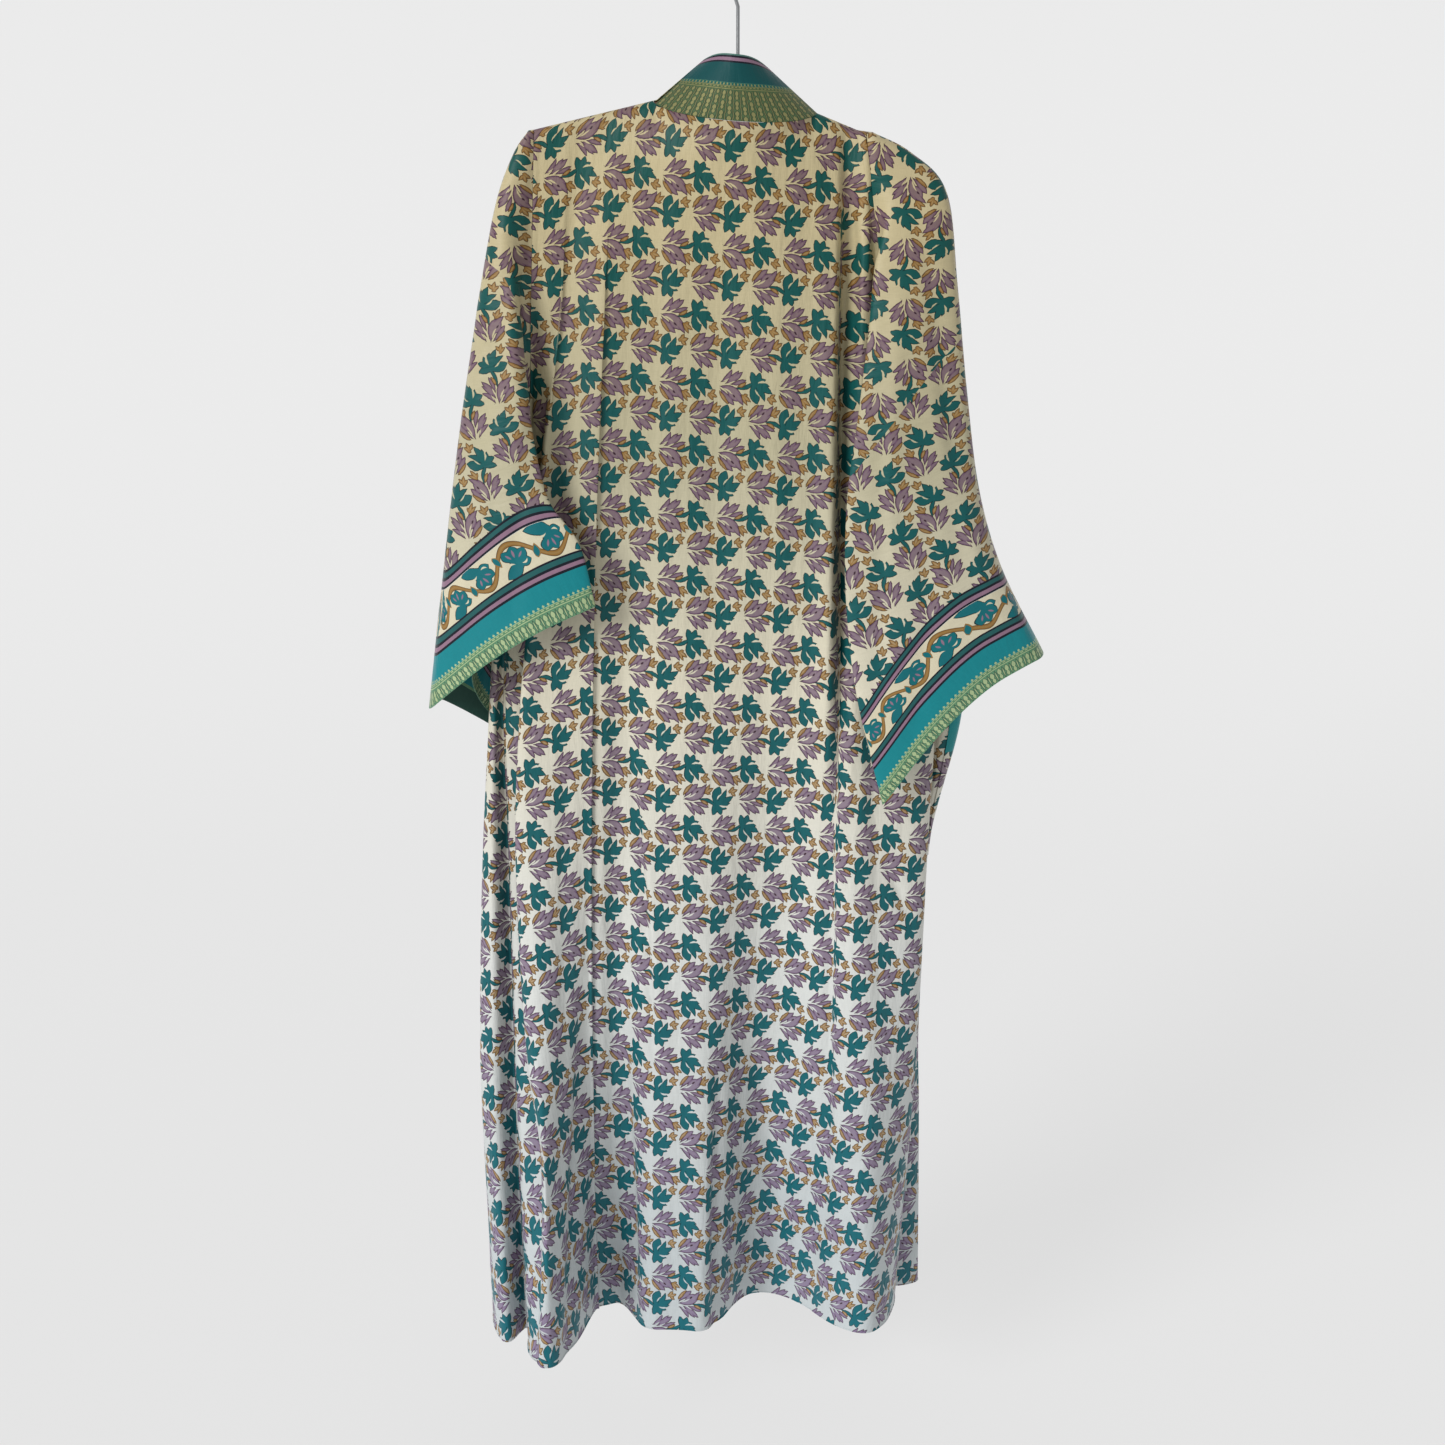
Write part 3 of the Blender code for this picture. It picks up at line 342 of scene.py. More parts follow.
# Creases: ends in x and z, sideways bow, width and depth; a depth below zero is a ridge. Before them, how
# they fade at their ends.
CREASE_FADE = 0.6
Crease = namedtuple("Crease", "x_top z_top x_low z_low bow width depth")
BACK_CREASES = [
    Crease(0.1060, -0.165, 0.1050, -0.860, 0.000, 0.0056, 0.0170),
    Crease(0.1130, -0.180, 0.1110, -0.780, 0.000, 0.0056, 0.0120),
    Crease(0.0960, -0.170, 0.0950, -0.840, 0.000, 0.0060, -0.0030),
    Crease(0.1250, -0.150, 0.1230, -0.450, 0.000, 0.0060, -0.0050),
    Crease(0.078, -0.180, 0.080, -1.000, 0.012, 0.0080, -0.0030),
    Crease(-0.110, -0.780, -0.087, -1.200, 0.002, 0.0045, 0.0060),
    Crease(-0.104, -0.780, -0.080, -1.160, 0.002, 0.0060, -0.0030),
    Crease(-0.124, -1.120, -0.113, -1.480, 0.001, 0.0055, 0.0060),
    Crease(-0.164, -1.060, -0.186, -1.500, 0.000, 0.0055, 0.0070),
    Crease(-0.019, -1.130, -0.023, -1.500, 0.000, 0.0050, 0.0080),
    Crease(0.098, -0.860, 0.097, -1.360, 0.001, 0.0060, 0.0070),
    Crease(0.080, -1.220, 0.086, -1.470, 0.000, 0.0100, 0.0040),
    Crease(0.020, -1.120, 0.050, -1.460, 0.004, 0.0120, 0.0040),
    Crease(0.066, -1.180, 0.074, -1.460, 0.000, 0.0090, -0.0035),
    Crease(-0.150, -0.155, -0.176, -0.560, -0.006, 0.0090, 0.0030),
    Crease(-0.060, -0.160, -0.075, -0.620, 0.004, 0.0120, -0.0018),
    Crease(-0.020, -0.300, -0.030, -0.980, 0.004, 0.0140, 0.0020),
    Crease(0.040, -0.260, 0.052, -0.900, -0.004, 0.0120, -0.0020),
    Crease(0.125, -0.560, 0.150, -1.100, 0.006, 0.0090, 0.0030),
    Crease(-0.130, -0.600, -0.150, -1.300, -0.004, 0.0100, -0.0030),
    Crease(-0.175, -0.700, -0.190, -1.350, 0.000, 0.0080, 0.0025),
    Crease(0.130, -0.846, 0.192, -0.852, 0.000, 0.0050, 0.0040),
    Crease(0.158, -0.915, 0.190, -0.990, 0.000, 0.0060, 0.0040),
    Crease(-0.070, -0.135, -0.110, -0.230, 0.002, 0.0070, 0.0012),
    Crease(0.060, -0.140, 0.095, -0.230, 0.002, 0.0070, 0.0012),
]
LEFT_FRONT_CREASES = [
    Crease(-0.215, -0.450, -0.235, -1.300, 0.006, 0.0090, 0.0030),
    Crease(-0.180, -0.200, -0.170, -0.720, 0.004, 0.0110, 0.0025),
    Crease(-0.140, -0.260, -0.150, -1.350, -0.006, 0.0110, -0.0025),
    Crease(-0.110, -0.900, -0.118, -1.440, 0.004, 0.0080, 0.0035),
    Crease(-0.200, -0.960, -0.215, -1.440, 0.003, 0.0080, -0.0030),
    Crease(-0.262, -0.700, -0.275, -1.400, 0.000, 0.0080, 0.0025),
    Crease(-0.092, -0.180, -0.098, -0.560, 0.003, 0.0080, -0.0018),
]
RIGHT_FRONT_CREASES = [
    Crease(0.160, -0.450, 0.176, -1.250, -0.006, 0.0090, 0.0030),
    Crease(0.130, -0.200, 0.126, -0.700, -0.004, 0.0110, 0.0025),
    Crease(0.112, -0.300, 0.120, -1.350, 0.006, 0.0110, -0.0025),
    Crease(0.098, -0.850, 0.104, -1.440, -0.004, 0.0080, 0.0035),
    Crease(0.150, -1.000, 0.162, -1.440, -0.003, 0.0080, -0.0030),
    Crease(0.205, -0.560, 0.200, -1.300, 0.000, 0.0070, 0.0020),
]
LEFT_SLEEVE_CREASES = [
    Crease(-0.206, -0.215, -0.268, -0.560, -0.004, 0.0100, 0.0030),
    Crease(-0.222, -0.300, -0.212, -0.540, 0.003, 0.0080, -0.0020),
    Crease(-0.236, -0.420, -0.296, -0.690, 0.004, 0.0090, -0.0022),
    Crease(-0.205, -0.430, -0.228, -0.650, 0.000, 0.0080, 0.0025),
    Crease(-0.255, -0.340, -0.300, -0.640, 0.000, 0.0070, 0.0018),
]
RIGHT_SLEEVE_CREASES = [
    Crease(0.170, -0.215, 0.226, -0.600, 0.006, 0.0100, 0.0030),
    Crease(0.160, -0.300, 0.150, -0.640, -0.004, 0.0090, -0.0022),
    Crease(0.190, -0.420, 0.262, -0.640, -0.004, 0.0090, -0.0025),
    Crease(0.140, -0.420, 0.140, -0.760, 0.004, 0.0080, 0.0028),
    Crease(0.190, -0.540, 0.176, -0.790, 0.006, 0.0100, 0.0028),
]

# Pockets: shares of the front's columns and heights that each patch lies between, depth of its teal mouth,
# and how far it stands off the front
POCKET_SHARES = {-1: (0.355, 0.660), 1: (0.225, 0.660)}
POCKET_TOP = -0.743
POCKET_BOTTOM = -0.915
POCKET_MOUTH = 0.050
POCKET_LIFT = 0.0014

# Steps and sides of the small pieces, and the bend from which an edge looks sharp
BAND_STEPS = 14
HEM_RADIUS = 0.0010
HEM_SIDES = 8
HOOK_STEPS = 40
HOOK_SIDES = 16
BAR_SIDES = 24
SHARP_ANGLE = math.radians(70)
SIDES = ((-1, "left"), (1, "right"))

# Camera: place, downward pitch and lens for a square picture of the whole robe
CAMERA_PLACE = (-0.0148, -2.155, -0.15)
CAMERA_PITCH = math.radians(16)
CAMERA_LENS = 53.31
SENSOR = 36.0

# Studio: level, half width and length of the floor with its backdrop, how far it starts in front of the robe,
# its flat length, the length and radius of its bend, its grey and its own light
FLOOR_LEVEL = -1.62
FLOOR_HALF_WIDTH = 8.0
FLOOR_RUN = 12.0
FLOOR_FRONT = 4.0
FLOOR_FLAT = 6.0
FLOOR_BEND = 3.0
BEND_RADIUS = 2.0
FLOOR_GREY = (0.20, 0.20, 0.20)
FLOOR_GLOW = 0.625
WINDOW_AIM = (0.62, 0.66, -0.42)
WINDOW_SIZE = math.radians(24)
WINDOW_STRENGTH = 2.1
ROOM_LIGHT = 0.44

# Silk: noise scales of the threads both ways and of the crimps, per millimetre; their relief; how the
# threads shade the colour and change the gloss; how much the reverse and the cuff's inside fade; colours of
# the ground from the hem up, the silk's cream with painted shade: darker at the hem and from the back up.
THREAD_SCALES = ((1.7, 0.10, 0), (0.10, 1.7, 0))
CRIMP_SCALE = (0.085, 0.020, 0)
THREAD_RELIEF = 0.25
THREAD_DEPTH = 0.0003
CRIMP_DEPTH = 0.006
THREAD_TONES = ((0.30, (0.86, 0.86, 0.86)), (0.66, (1.0, 1.0, 1.0)))
THREAD_GLOSS = 0.12
REVERSE_FADE = 0.45
INSIDE_DULL = 0.12
GROUND_AND_SHADE_TONES = (
    (0.08, "ground_hem_shaded"),
    (0.33, "ground_low"),
    (0.55, "ground_middle"),
    (0.74, "ground_back_shaded"),
    (0.90, "ground_top_shaded"),
)

# Drawing, in millimetres: soft edge of a line; levels of a petal's outline, fill and heart; how soft the
# heart is; least width of a petal, as a share of its own
EDGE_SOFT = 0.3
OUTLINE_EDGE = -0.55
FILL_EDGE = 0.15
HEART_EDGE = 1.1
HEART_SOFT = 0.8
PETAL_LEAST = 0.1

# Print, in millimetres: width and height of one repeat, where a spray starts in it, how finely and how far
# the lines wander, and the waves that part a row from its neighbours: place of the crest, height and level
CHART_REPEAT = 62.0
CHART_ROW = 33.0
SPRAY_START = 1.5
WANDER_SCALE = 0.35
WANDER = 1.1
Wave = namedtuple("Wave", "crest height level")
ROW_WAVES = (Wave(18.0, 1.4, 0.5), Wave(10.0, -0.5, -0.5))

# Woven edge, in millimetres: pitch of the medallions, height of the lines over them and rise of a medallion's
# chart; tiers and tint on the neckband; share of metal. From its top down: teeth with their pitch, the teal
# behind them, two pale threads with a row of dashes between them.
ZARI_PITCH = 8.4
ZARI_LINES = 8.0
MEDALLION_RISE = 13.0
BAND_ZARI_TIERS = 3
BAND_ZARI_TINT = (0.62, 0.47, 0.36)
GOLD_METAL = 0.35
TOOTH_PITCH = 5.3
TOOTH_REACH = 1.5
TOOTH_GROUND = 2.9
UPPER_THREAD = (3.0, 3.6)
LOWER_THREAD = (6.2, 7.0)
DASH_ROW = (4.2, 5.2)
DASH_GAP = 1.1

# Vine, in millimetres: pitch of its bends, swing, half width of the stem and how it thins off the middle line
VINE_PITCH = 33.0
VINE_SWING = 12.6
STEM_HALF = 1.9
STEM_THIN = 0.76


def glide(rows, z):
    """Values of a side table at height z, on a smooth curve through its rows."""
    k = 0
    while k < len(rows) - 2 and z < rows[k + 1].z:
        k += 1
    upper, lower = rows[k], rows[k + 1]
    before, after = rows[max(k - 1, 0)], rows[min(k + 2, len(rows) - 1)]
    span = lower.z - upper.z
    t = min(max((z - upper.z) / span, 0.0), 1.0)
    found = {}
    for name in upper._fields[1:]:
        a, b = getattr(upper, name), getattr(lower, name)
        slope_a = (b - getattr(before, name)) / (lower.z - before.z) * span
        slope_b = (getattr(after, name) - a) / (after.z - upper.z) * span
        found[name] = hermite(a, b, slope_a, slope_b, t)
    return found


def hermite(a, b, slope_a, slope_b, t):
    """Cubic from a to b with the given end slopes."""
    return (a * (1 + 2 * t) * (1 - t) ** 2 + slope_a * t * (1 - t) ** 2
            + b * t * t * (3 - 2 * t) + slope_b * t * t * (t - 1))


def smooth_share(t):
    """Smooth step from 0 to 1 as t goes from 0 to 1."""
    t = min(max(t, 0.0), 1.0)
    return t * t * (3 - 2 * t)


def three_levels(top, middle, hem, z):
    """Parabola through a value at the top of the robe, half way down and at the hem."""
    t = (ROBE_TOP - z) / (ROBE_TOP - HEM)
    return top * (1 - t) * (1 - 2 * t) + middle * 4 * t * (1 - t) + hem * t * (2 * t - 1)


def cut_corners(points, closed=False):
    """Rounds a control line by cutting each corner a quarter of the way along its sides."""
    rounded = [] if closed else [points[0]]
    count = len(points)
    for k in range(count if closed else count - 1):
        a, b = points[k], points[(k + 1) % count]
        rounded.append(a.lerp(b, CORNER_CUT))
        rounded.append(a.lerp(b, 1 - CORNER_CUT))
    if not closed:
        rounded.append(points[-1])
    return rounded


def shoulder_height(x):
    """Top of the robe at x: two slopes from the neck, tilted with the hanger."""
    return ROBE_TOP - abs(x) * math.tan(SHOULDER_SLOPE) - x * math.tan(HANGER_TILT)


def neck_share(x):
    """How far x lies inside the neck: 0 at its two ends, 1 in the middle."""
    middle = (NECK_LEFT + NECK_RIGHT) / 2
    half = (NECK_RIGHT - NECK_LEFT) / 2
    return math.sqrt(max(0.0, 1 - ((x - middle) / half) ** 2))


def neck_height(x):
    """Height of the back neck seam at x."""
    t = (x - NECK_LEFT) / (NECK_RIGHT - NECK_LEFT)
    level = shoulder_height(NECK_LEFT) * (1 - t) + shoulder_height(NECK_RIGHT) * t
    return level - NECK_DIP * neck_share(x)


def body_point(x, fold_y, row, side, with_neck):
    """Point of a body panel from its place in plan and its row. side is -1 on the back and 1 on the front."""
    distance, over_bar, drop = row
    share = neck_share(x) if with_neck and NECK_LEFT < x < NECK_RIGHT else 0.0
    slope = math.exp(-(drop / SLOPE_REACH) ** 2)
    top = neck_height(x) if share else shoulder_height(x)
    fall = drop * (1 - share) + distance * share if over_bar is not None else drop
    z = ROBE_TOP - fall + (top - ROBE_TOP) * slope
    near = math.exp(-(distance / NECK_REACH) ** 2)
    share = share ** (1 + distance / NECK_EASE)
    if over_bar is None:
        y = fold_y * (1 - share * near)
    else:
        y = side * over_bar * (1 - share)
    if with_neck:
        wide = math.cos(min(abs(x) / NAPE_HALF_WIDTH, 1.0) * math.pi / 2) ** 2
        y += side * NECK_DEPTH * (share * near + wide * (1 - near) * math.exp(-distance / NAPE_REACH))
    return Vector((x, y, z))


def seam_ends(seam_x, seam_y, side, face, z):
    """Edge of a body panel at its side and the control next to it. face is -1 on the back and 1 on the front.

    Both edges run inwards along the armhole. Below it each one turns by its own angle, and the bisector parts
    them.
    """
    turned, closed = (smooth_share((UNDERARM - z) / reach) for reach in (SEAM_TURN_REACH, SEAM_CLOSE_REACH))
    back_turn, front_turn = (math.radians(angle) for angle in SEAM_TURNS[side])
    parting = math.cos((front_turn + back_turn) / 2 * closed)
    back_turn, front_turn = back_turn * turned, front_turn * turned
    lean = (front_turn - back_turn) / 2
    half_gap = SEAM_GAP / 2 + (WALL / 2 + SEAM_GAP) * parting
    apart = Vector((side * math.sin(lean), math.cos(lean), 0)) * half_gap
    opened = min(max((z - UNDERARM) / ARMHOLE_OPENING, 0.0), 1.0)
    y = seam_y * (1 - opened) + face * abs(seam_y) * opened
    edge = Vector((seam_x, y, 0)) + face * apart
    turn = back_turn if face < 0 else front_turn
    inside = Vector((-side * math.cos(turn), face * math.sin(turn), 0)) * SEAM_TURN
    return edge, edge + inside


def band_line(side, z):
    """Seam of a front with its band at height z, in plan."""
    top = NECK_LEFT if side < 0 else NECK_RIGHT
    t = min((ROBE_TOP - z) / NECK_FALL, 1.0)
    x = top * (1 - t) + side * (BAND_EDGE + BAND_FRONT_GAP) * t
    return Vector((x, three_levels(*BAND_LINE_Y, z), 0))


def plan(values, *names):
    """Places in plan by their names in a side table."""
    return [Vector((values[name + "_x"], values[name + "_y"], 0)) for name in names]


def front_section(side, z):
    """Control line of a front at height z, from the side seam to the band.

    side is -1 on the left and 1 on the right.
    """
    seams = glide(LEFT_BACK if side < 0 else RIGHT_BACK, z)
    form = glide(LEFT_FRONT if side < 0 else RIGHT_FRONT, z)
    edge = band_line(side, z)
    points = [*seam_ends(seams["seam_x"], seams["seam_y"], side, 1, z), *plan(form, "wrap", "outer", "turn")]
    turn = points[-1]
    for fold in LEFT_FRONT_FOLDS if side < 0 else RIGHT_FRONT_FOLDS:
        x = turn.x + (edge.x - turn.x) * fold.share
        points.append(Vector((x, three_levels(fold.y_top, fold.y_mid, fold.y_hem, z), 0)))
    return points + [edge + Vector((side * SEAM_TURN, 0, 0)), edge]


def ring_points(row):
    """Control ring of a sleeve from one row of its table."""
    top, lap, notch, lap_front = (Vector(v) for v in (row.top, row.lap, row.notch, row.lap_front))
    fold = Vector((0, LAP_THICKNESS, 0))
    notch_far = Vector((notch.x, notch.y + 2 * row.half, notch.z - row.drop))

    def face(end, out, lift):
        points = [top + Vector((0, math.copysign(row.cap, out), 0))]
        for share in NEAR_SHARES:
            bulge = math.sin(math.pi * min(share * BULGE_SKEW, 1.0)) ** BULGE_ROUND
            level = math.sin(math.pi * share)
            points.append(points[0].lerp(end, share) + Vector((0, out * bulge, lift * level)))
        return points

    near = face(lap - fold, -row.near_out, row.lift)
    far = face(lap_front + fold, row.far_out, 0.0)
    back = near + [lap - fold, lap, lap.lerp(notch, LAP_MIDDLE), notch]
    front = far + [lap_front + fold, lap_front, lap_front.lerp(notch_far, LAP_MIDDLE), notch_far]
    return back + front[::-1]


def band_free_edge(seam):
    """Free edge of the band over a point of the back neck seam."""
    middle = (NECK_LEFT + NECK_RIGHT) / 2
    along = min(abs(seam.x - middle) / ((NECK_RIGHT - NECK_LEFT) / 2), 1.0)
    x = middle + (seam.x - middle) * (BAND_NARROW + BAND_FLARE * along ** 2)
    y = BAND_BACK_Y + (BAND_SIDE_Y - BAND_BACK_Y) * along ** 2
    return Vector((x, y, BAND_TOP - BAND_END_DROP * along ** 4 - BAND_TOP_TILT * (x - middle)))


def bar_line():
    """Centre line of the hanger's bar, under the shoulders and rounded over the middle."""
    left, right = (
        [Vector((x, 0, shoulder_height(x) - WRAP)) for x in line]
        for line in ((BAR_LEFT_TIP, -BAR_STATIONS[1], -BAR_STATIONS[0]), (*BAR_STATIONS, BAR_RIGHT_TIP))
    )
    apex = shoulder_height(0.0) - WRAP
    middle = []
    for share in (-1.0, -0.5, 0.0, 0.5, 1.0):
        x = share * BAR_BEND
        flat = apex - BAR_BEND * math.tan(SHOULDER_SLOPE) / 2 * (1 + share * share)
        middle.append(Vector((x, 0, flat - x * math.tan(HANGER_TILT))))
    return left + middle + right


def hook_line(bar_top):
    """Centre line of the hook: a straight shank, a bend to the left and an arc over the rail."""
    radius = HOOK_RADIUS + WIRE_RADIUS
    centre = -HOOK_RADIUS
    seat = bar_top + SEAM_GAP + HOOK_SEAT
    points = [Vector((0, 0, z)) for z in (seat, SHANK_TOP - SHANK_STRAIGHT, SHANK_TOP)]
    for share in SHANK_SHARES:
        points.append(Vector((-radius * share ** SHANK_BOW, 0, SHANK_TOP + (centre - SHANK_TOP) * share)))
    for k in range(HOOK_STEPS + 1):
        angle = math.pi + (HOOK_END_ANGLE - math.pi) * k / HOOK_STEPS
        points.append(Vector((radius * math.cos(angle), 0, centre + radius * math.sin(angle))))
    return points


def back_section(z):
    """Control line of the back at height z, from side seam to side seam, with the long lapped fold."""
    left, right = glide(LEFT_BACK, z), glide(RIGHT_BACK, z)
    inner, outer = (
        Vector((FOLD_STEP + left["fold_gap"] * across, -left["fold_gap"] * back, 0))
        for across, back in (FOLD_INNER, FOLD_OUTER)
    )
    out, under, turned = plan(left, "out", "under", "fold")
    points = list(seam_ends(left["seam_x"], left["seam_y"], -1, -1, z))
    points += [out, under, under + inner, turned, turned + outer]
    lapped = smooth_share((LAP_LEVELS[0] - z) / (LAP_LEVELS[0] - LAP_LEVELS[1]))
    for k, fold in enumerate(BACK_FOLDS):
        point = Vector((three_levels(fold.x_top, fold.x_mid, fold.x_hem, z),
                        three_levels(fold.y_top, fold.y_mid, fold.y_hem, z), 0))
        if k == LAP_FOLD:
            over = Vector((LAP_OVER * (2 * lapped - 1), -LAP_LIFT * lapped, 0))
            beneath = Vector((LAP_OVER - (LAP_UNDER + LAP_OVER) * lapped, 0, 0))
            aside = Vector((LAP_UNDER, 0, 0))
            points += [point + over - aside, point + over, point + beneath, point - over + aside]
        else:
            points.append(point)
    points += plan(right, "fold", "under", "out")
    return points + list(seam_ends(right["seam_x"], right["seam_y"], 1, -1, z)[::-1])


def smooth_line(points, closed=False):
    """Line or ring of controls rounded as finely as the pieces show."""
    for _ in range(SMOOTHING):
        points = cut_corners(points, closed)
    return points


def column_of(control):
    """Column of a rounded line that lies by one of its controls."""
    for _ in range(SMOOTHING):
        control = control * 2 + 0.5
    return round(control)


def fine_rows():
    """Every row of a body panel as shown: distance along the cloth, depth over the bar or None, and drop."""
    rows = []
    for k in range(OVER_BAR_ROWS + 1):
        turn = math.pi / 2 * k / OVER_BAR_ROWS
        rows.append((WRAP * turn, max(WRAP * math.sin(turn), SHOULDER_SEAM), WRAP * (1 - math.cos(turn))))
    count = round((LAST_DROP - WRAP) / ROW_PITCH)
    for k in range(1, count + 1):
        drop = WRAP + (LAST_DROP - WRAP) * k / count
        rows.append((drop + WRAP * (math.pi / 2 - 1), None, drop))
    return rows


def panel(section, face, with_neck):
    """Points of one body panel, in rows and columns."""
    rows = []
    for row in fine_rows():
        line = smooth_line(section(ROBE_TOP - row[2]))
        rows.append([body_point(p.x, p.y, row, face, with_neck) for p in line])
    return np.array(rows)


def run(points, axis):
    """Distance along a grid of points from its first row or column."""
    steps = np.linalg.norm(np.diff(points, axis=axis), axis=2)
    start = np.zeros_like(np.take(steps, [0], axis=axis))
    return np.cumsum(np.concatenate([start, steps], axis=axis), axis=axis)


def outwards(form, towards):
    """Unit normals of a grid of points, on the side that lies more towards some directions."""
    normals = np.cross(np.gradient(form, axis=1), np.gradient(form, axis=0))
    normals /= np.maximum(np.linalg.norm(normals, axis=2, keepdims=True), 1e-12)
    return normals * np.sign((normals * towards).sum())


def unit(directions):
    """Directions brought to length 1."""
    return directions / np.linalg.norm(directions, axis=-1, keepdims=True)


def pressed(form, normals, creases):
    """A form with its creases pressed in or raised, each fading to nothing at both ends."""
    x, z = form[..., 0], form[..., 2]
    depth = np.zeros(x.shape)
    for crease in creases:
        along = np.array([crease.x_low - crease.x_top, crease.z_low - crease.z_top])
        length = np.linalg.norm(along)
        along /= length
        share = np.clip(((x - crease.x_top) * along[0] + (z - crease.z_top) * along[1]) / length, 0, 1)
        aside = (z - crease.z_top) * along[0] - (x - crease.x_top) * along[1]
        aside = aside - crease.bow * np.sin(math.pi * share)
        depth += crease.depth * np.exp(-(aside / crease.width) ** 2) * np.sin(math.pi * share) ** CREASE_FADE
    return form - normals * (depth * bpy.context.scene.robe_sizes.creases)[..., None]


@lru_cache
def back_form():
    """Points of the back, and its print coordinates."""
    plain = panel(back_section, -1, True)
    form = pressed(plain, outwards(plain, (0, -1, 0)), BACK_CREASES)
    across = run(plain * (1, 1, 0), 1)
    first = len(seam_ends(0, 0, -1, -1, HEM)) + SIDE_CONTROLS
    lap = column_of(first + LAP_FOLD + 1)
    grain = column_of(first + GRAIN_FOLD + LAP_CONTROLS - 1)
    u = across - across[:, [grain]]
    z = plain[..., 2]
    share = np.clip((ROBE_TOP - z) / (ROBE_TOP - HEM), 0, 1)
    right, left = (np.tan(fall[0] + (fall[1] - fall[0]) * share) for fall in (ROW_FALL, ROW_FALL_LEFT))
    fold = u[:, [lap]]
    v = z - GRAIN_LEVEL + right * np.maximum(u, fold) + left * np.maximum(fold - u, 0)
    below = np.interp(-z, [-level for level in VALLEY_LEVELS], [0.0, 1.0, 1.0, 0.0])
    u = u + VALLEY_HIDES * below * np.clip((plain[..., 0] - VALLEY_EDGE) / VALLEY_STEP, 0, 1)
    return form, np.stack([u, v], axis=2)


@lru_cache
def front_form(side):
    """Points of a front, and its print coordinates. The print is turned round there."""
    plain = panel(lambda z: front_section(side, z), 1, False)
    creases = LEFT_FRONT_CREASES if side < 0 else RIGHT_FRONT_CREASES
    form = pressed(plain, outwards(plain, (0, 1, 0)), creases)
    u = run(plain * (1, 1, 0), 1) * -side
    return form, np.stack([u, -plain[..., 2]], axis=2)


def armhole_ring(side, back, front):
    """Where the sleeve meets the body: the armhole edges of the back and the front, as a ring of controls."""
    column = 0 if side < 0 else -1
    drops = [row[2] for row in fine_rows()]
    last = min(range(len(drops)), key=lambda k: abs(drops[k] - (ROBE_TOP - UNDERARM)))

    def at(points, share):
        z = points[0][2] * (1 - share) + points[last][2] * share
        order = np.argsort(points[:last + 1, 2])
        level = points[:last + 1][order]
        return Vector([np.interp(z, level[:, 2], level[:, axis]) for axis in range(3)])

    top = Vector(back[0, column])
    shares = (2 * WRAP / (top.z - back[last, column, 2]),) + ARMHOLE_SHARES
    behind = [at(back[:, column], share) for share in shares]
    ahead = [at(front[:, 0], share) for share in shares]
    for a, b in zip(behind, ahead):
        a.y = min(a.y, -UNDERARM_HALF)
        b.y = max(b.y, UNDERARM_HALF)
    ring = [Vector((top.x, -WRAP, top.z))] + behind + ahead[::-1] + [Vector((top.x, WRAP, top.z))]
    return [p + Vector((side * SEAM_GAP, 0, 0)) for p in ring]


def sleeve_rings(side):
    """Rings of points of a sleeve from the armhole to the wrist, starting at the underarm."""
    start = armhole_ring(side, back_form()[0], front_form(side)[0])
    half = len(start) // 2
    ease = [Vector((side * EASE_OUT, -EASE_OFF if k < half else EASE_OFF, 0)) for k in range(len(start))]
    rings = [[p + off for p, off in zip(start, ease)]]
    rings += [ring_points(row) for row in (LEFT_RINGS if side < 0 else RIGHT_RINGS)]
    last = len(rings) - 1
    straight = [p + Vector((side * SLEEVE_START, 0, 0)) for p in start]
    rows = [start, straight]
    for j in range(SLEEVE_RINGS + 1):
        place = j / SLEEVE_RINGS * last
        k = min(int(place), last - 1)
        a, b = rings[k], rings[k + 1]
        before, after = rings[max(k - 1, 0)], rings[min(k + 2, last)]
        ring = []
        for i in range(len(a)):
            slope_a = (b[i] - before[i]) / (2 if k else 1)
            slope_b = (after[i] - a[i]) / (2 if k + 2 <= last else 1)
            ring.append(hermite(a[i], b[i], slope_a, slope_b, place - k))
        rows.append(ring)
    points = np.array([smooth_line(ring, closed=True) for ring in rows])
    return np.roll(points, -round(points.shape[1] * RING_START), axis=1)


def grain_places(side, places):
    """Print coordinates of a sleeve: its grain bends down and inwards round a far point."""
    offset = places - np.array(GRAIN_MIDDLE[side])
    reach = np.linalg.norm(offset, axis=2)
    turn = np.arctan2(offset[..., 1], -offset[..., 0])
    return np.stack([GRAIN_REACH * turn, GRAIN_REACH - reach], axis=2)


def beside_edge(ring, side):
    """How far each place lies along the wrist's edge from its column's foot, to keep the border upright."""
    edge = ring[-1]
    tangent = np.gradient(edge, axis=0)
    tangent /= np.maximum(np.linalg.norm(tangent, axis=1), 1e-6)[:, None]
    return np.einsum("rcx,cx->rc", ring - edge, tangent) * -side


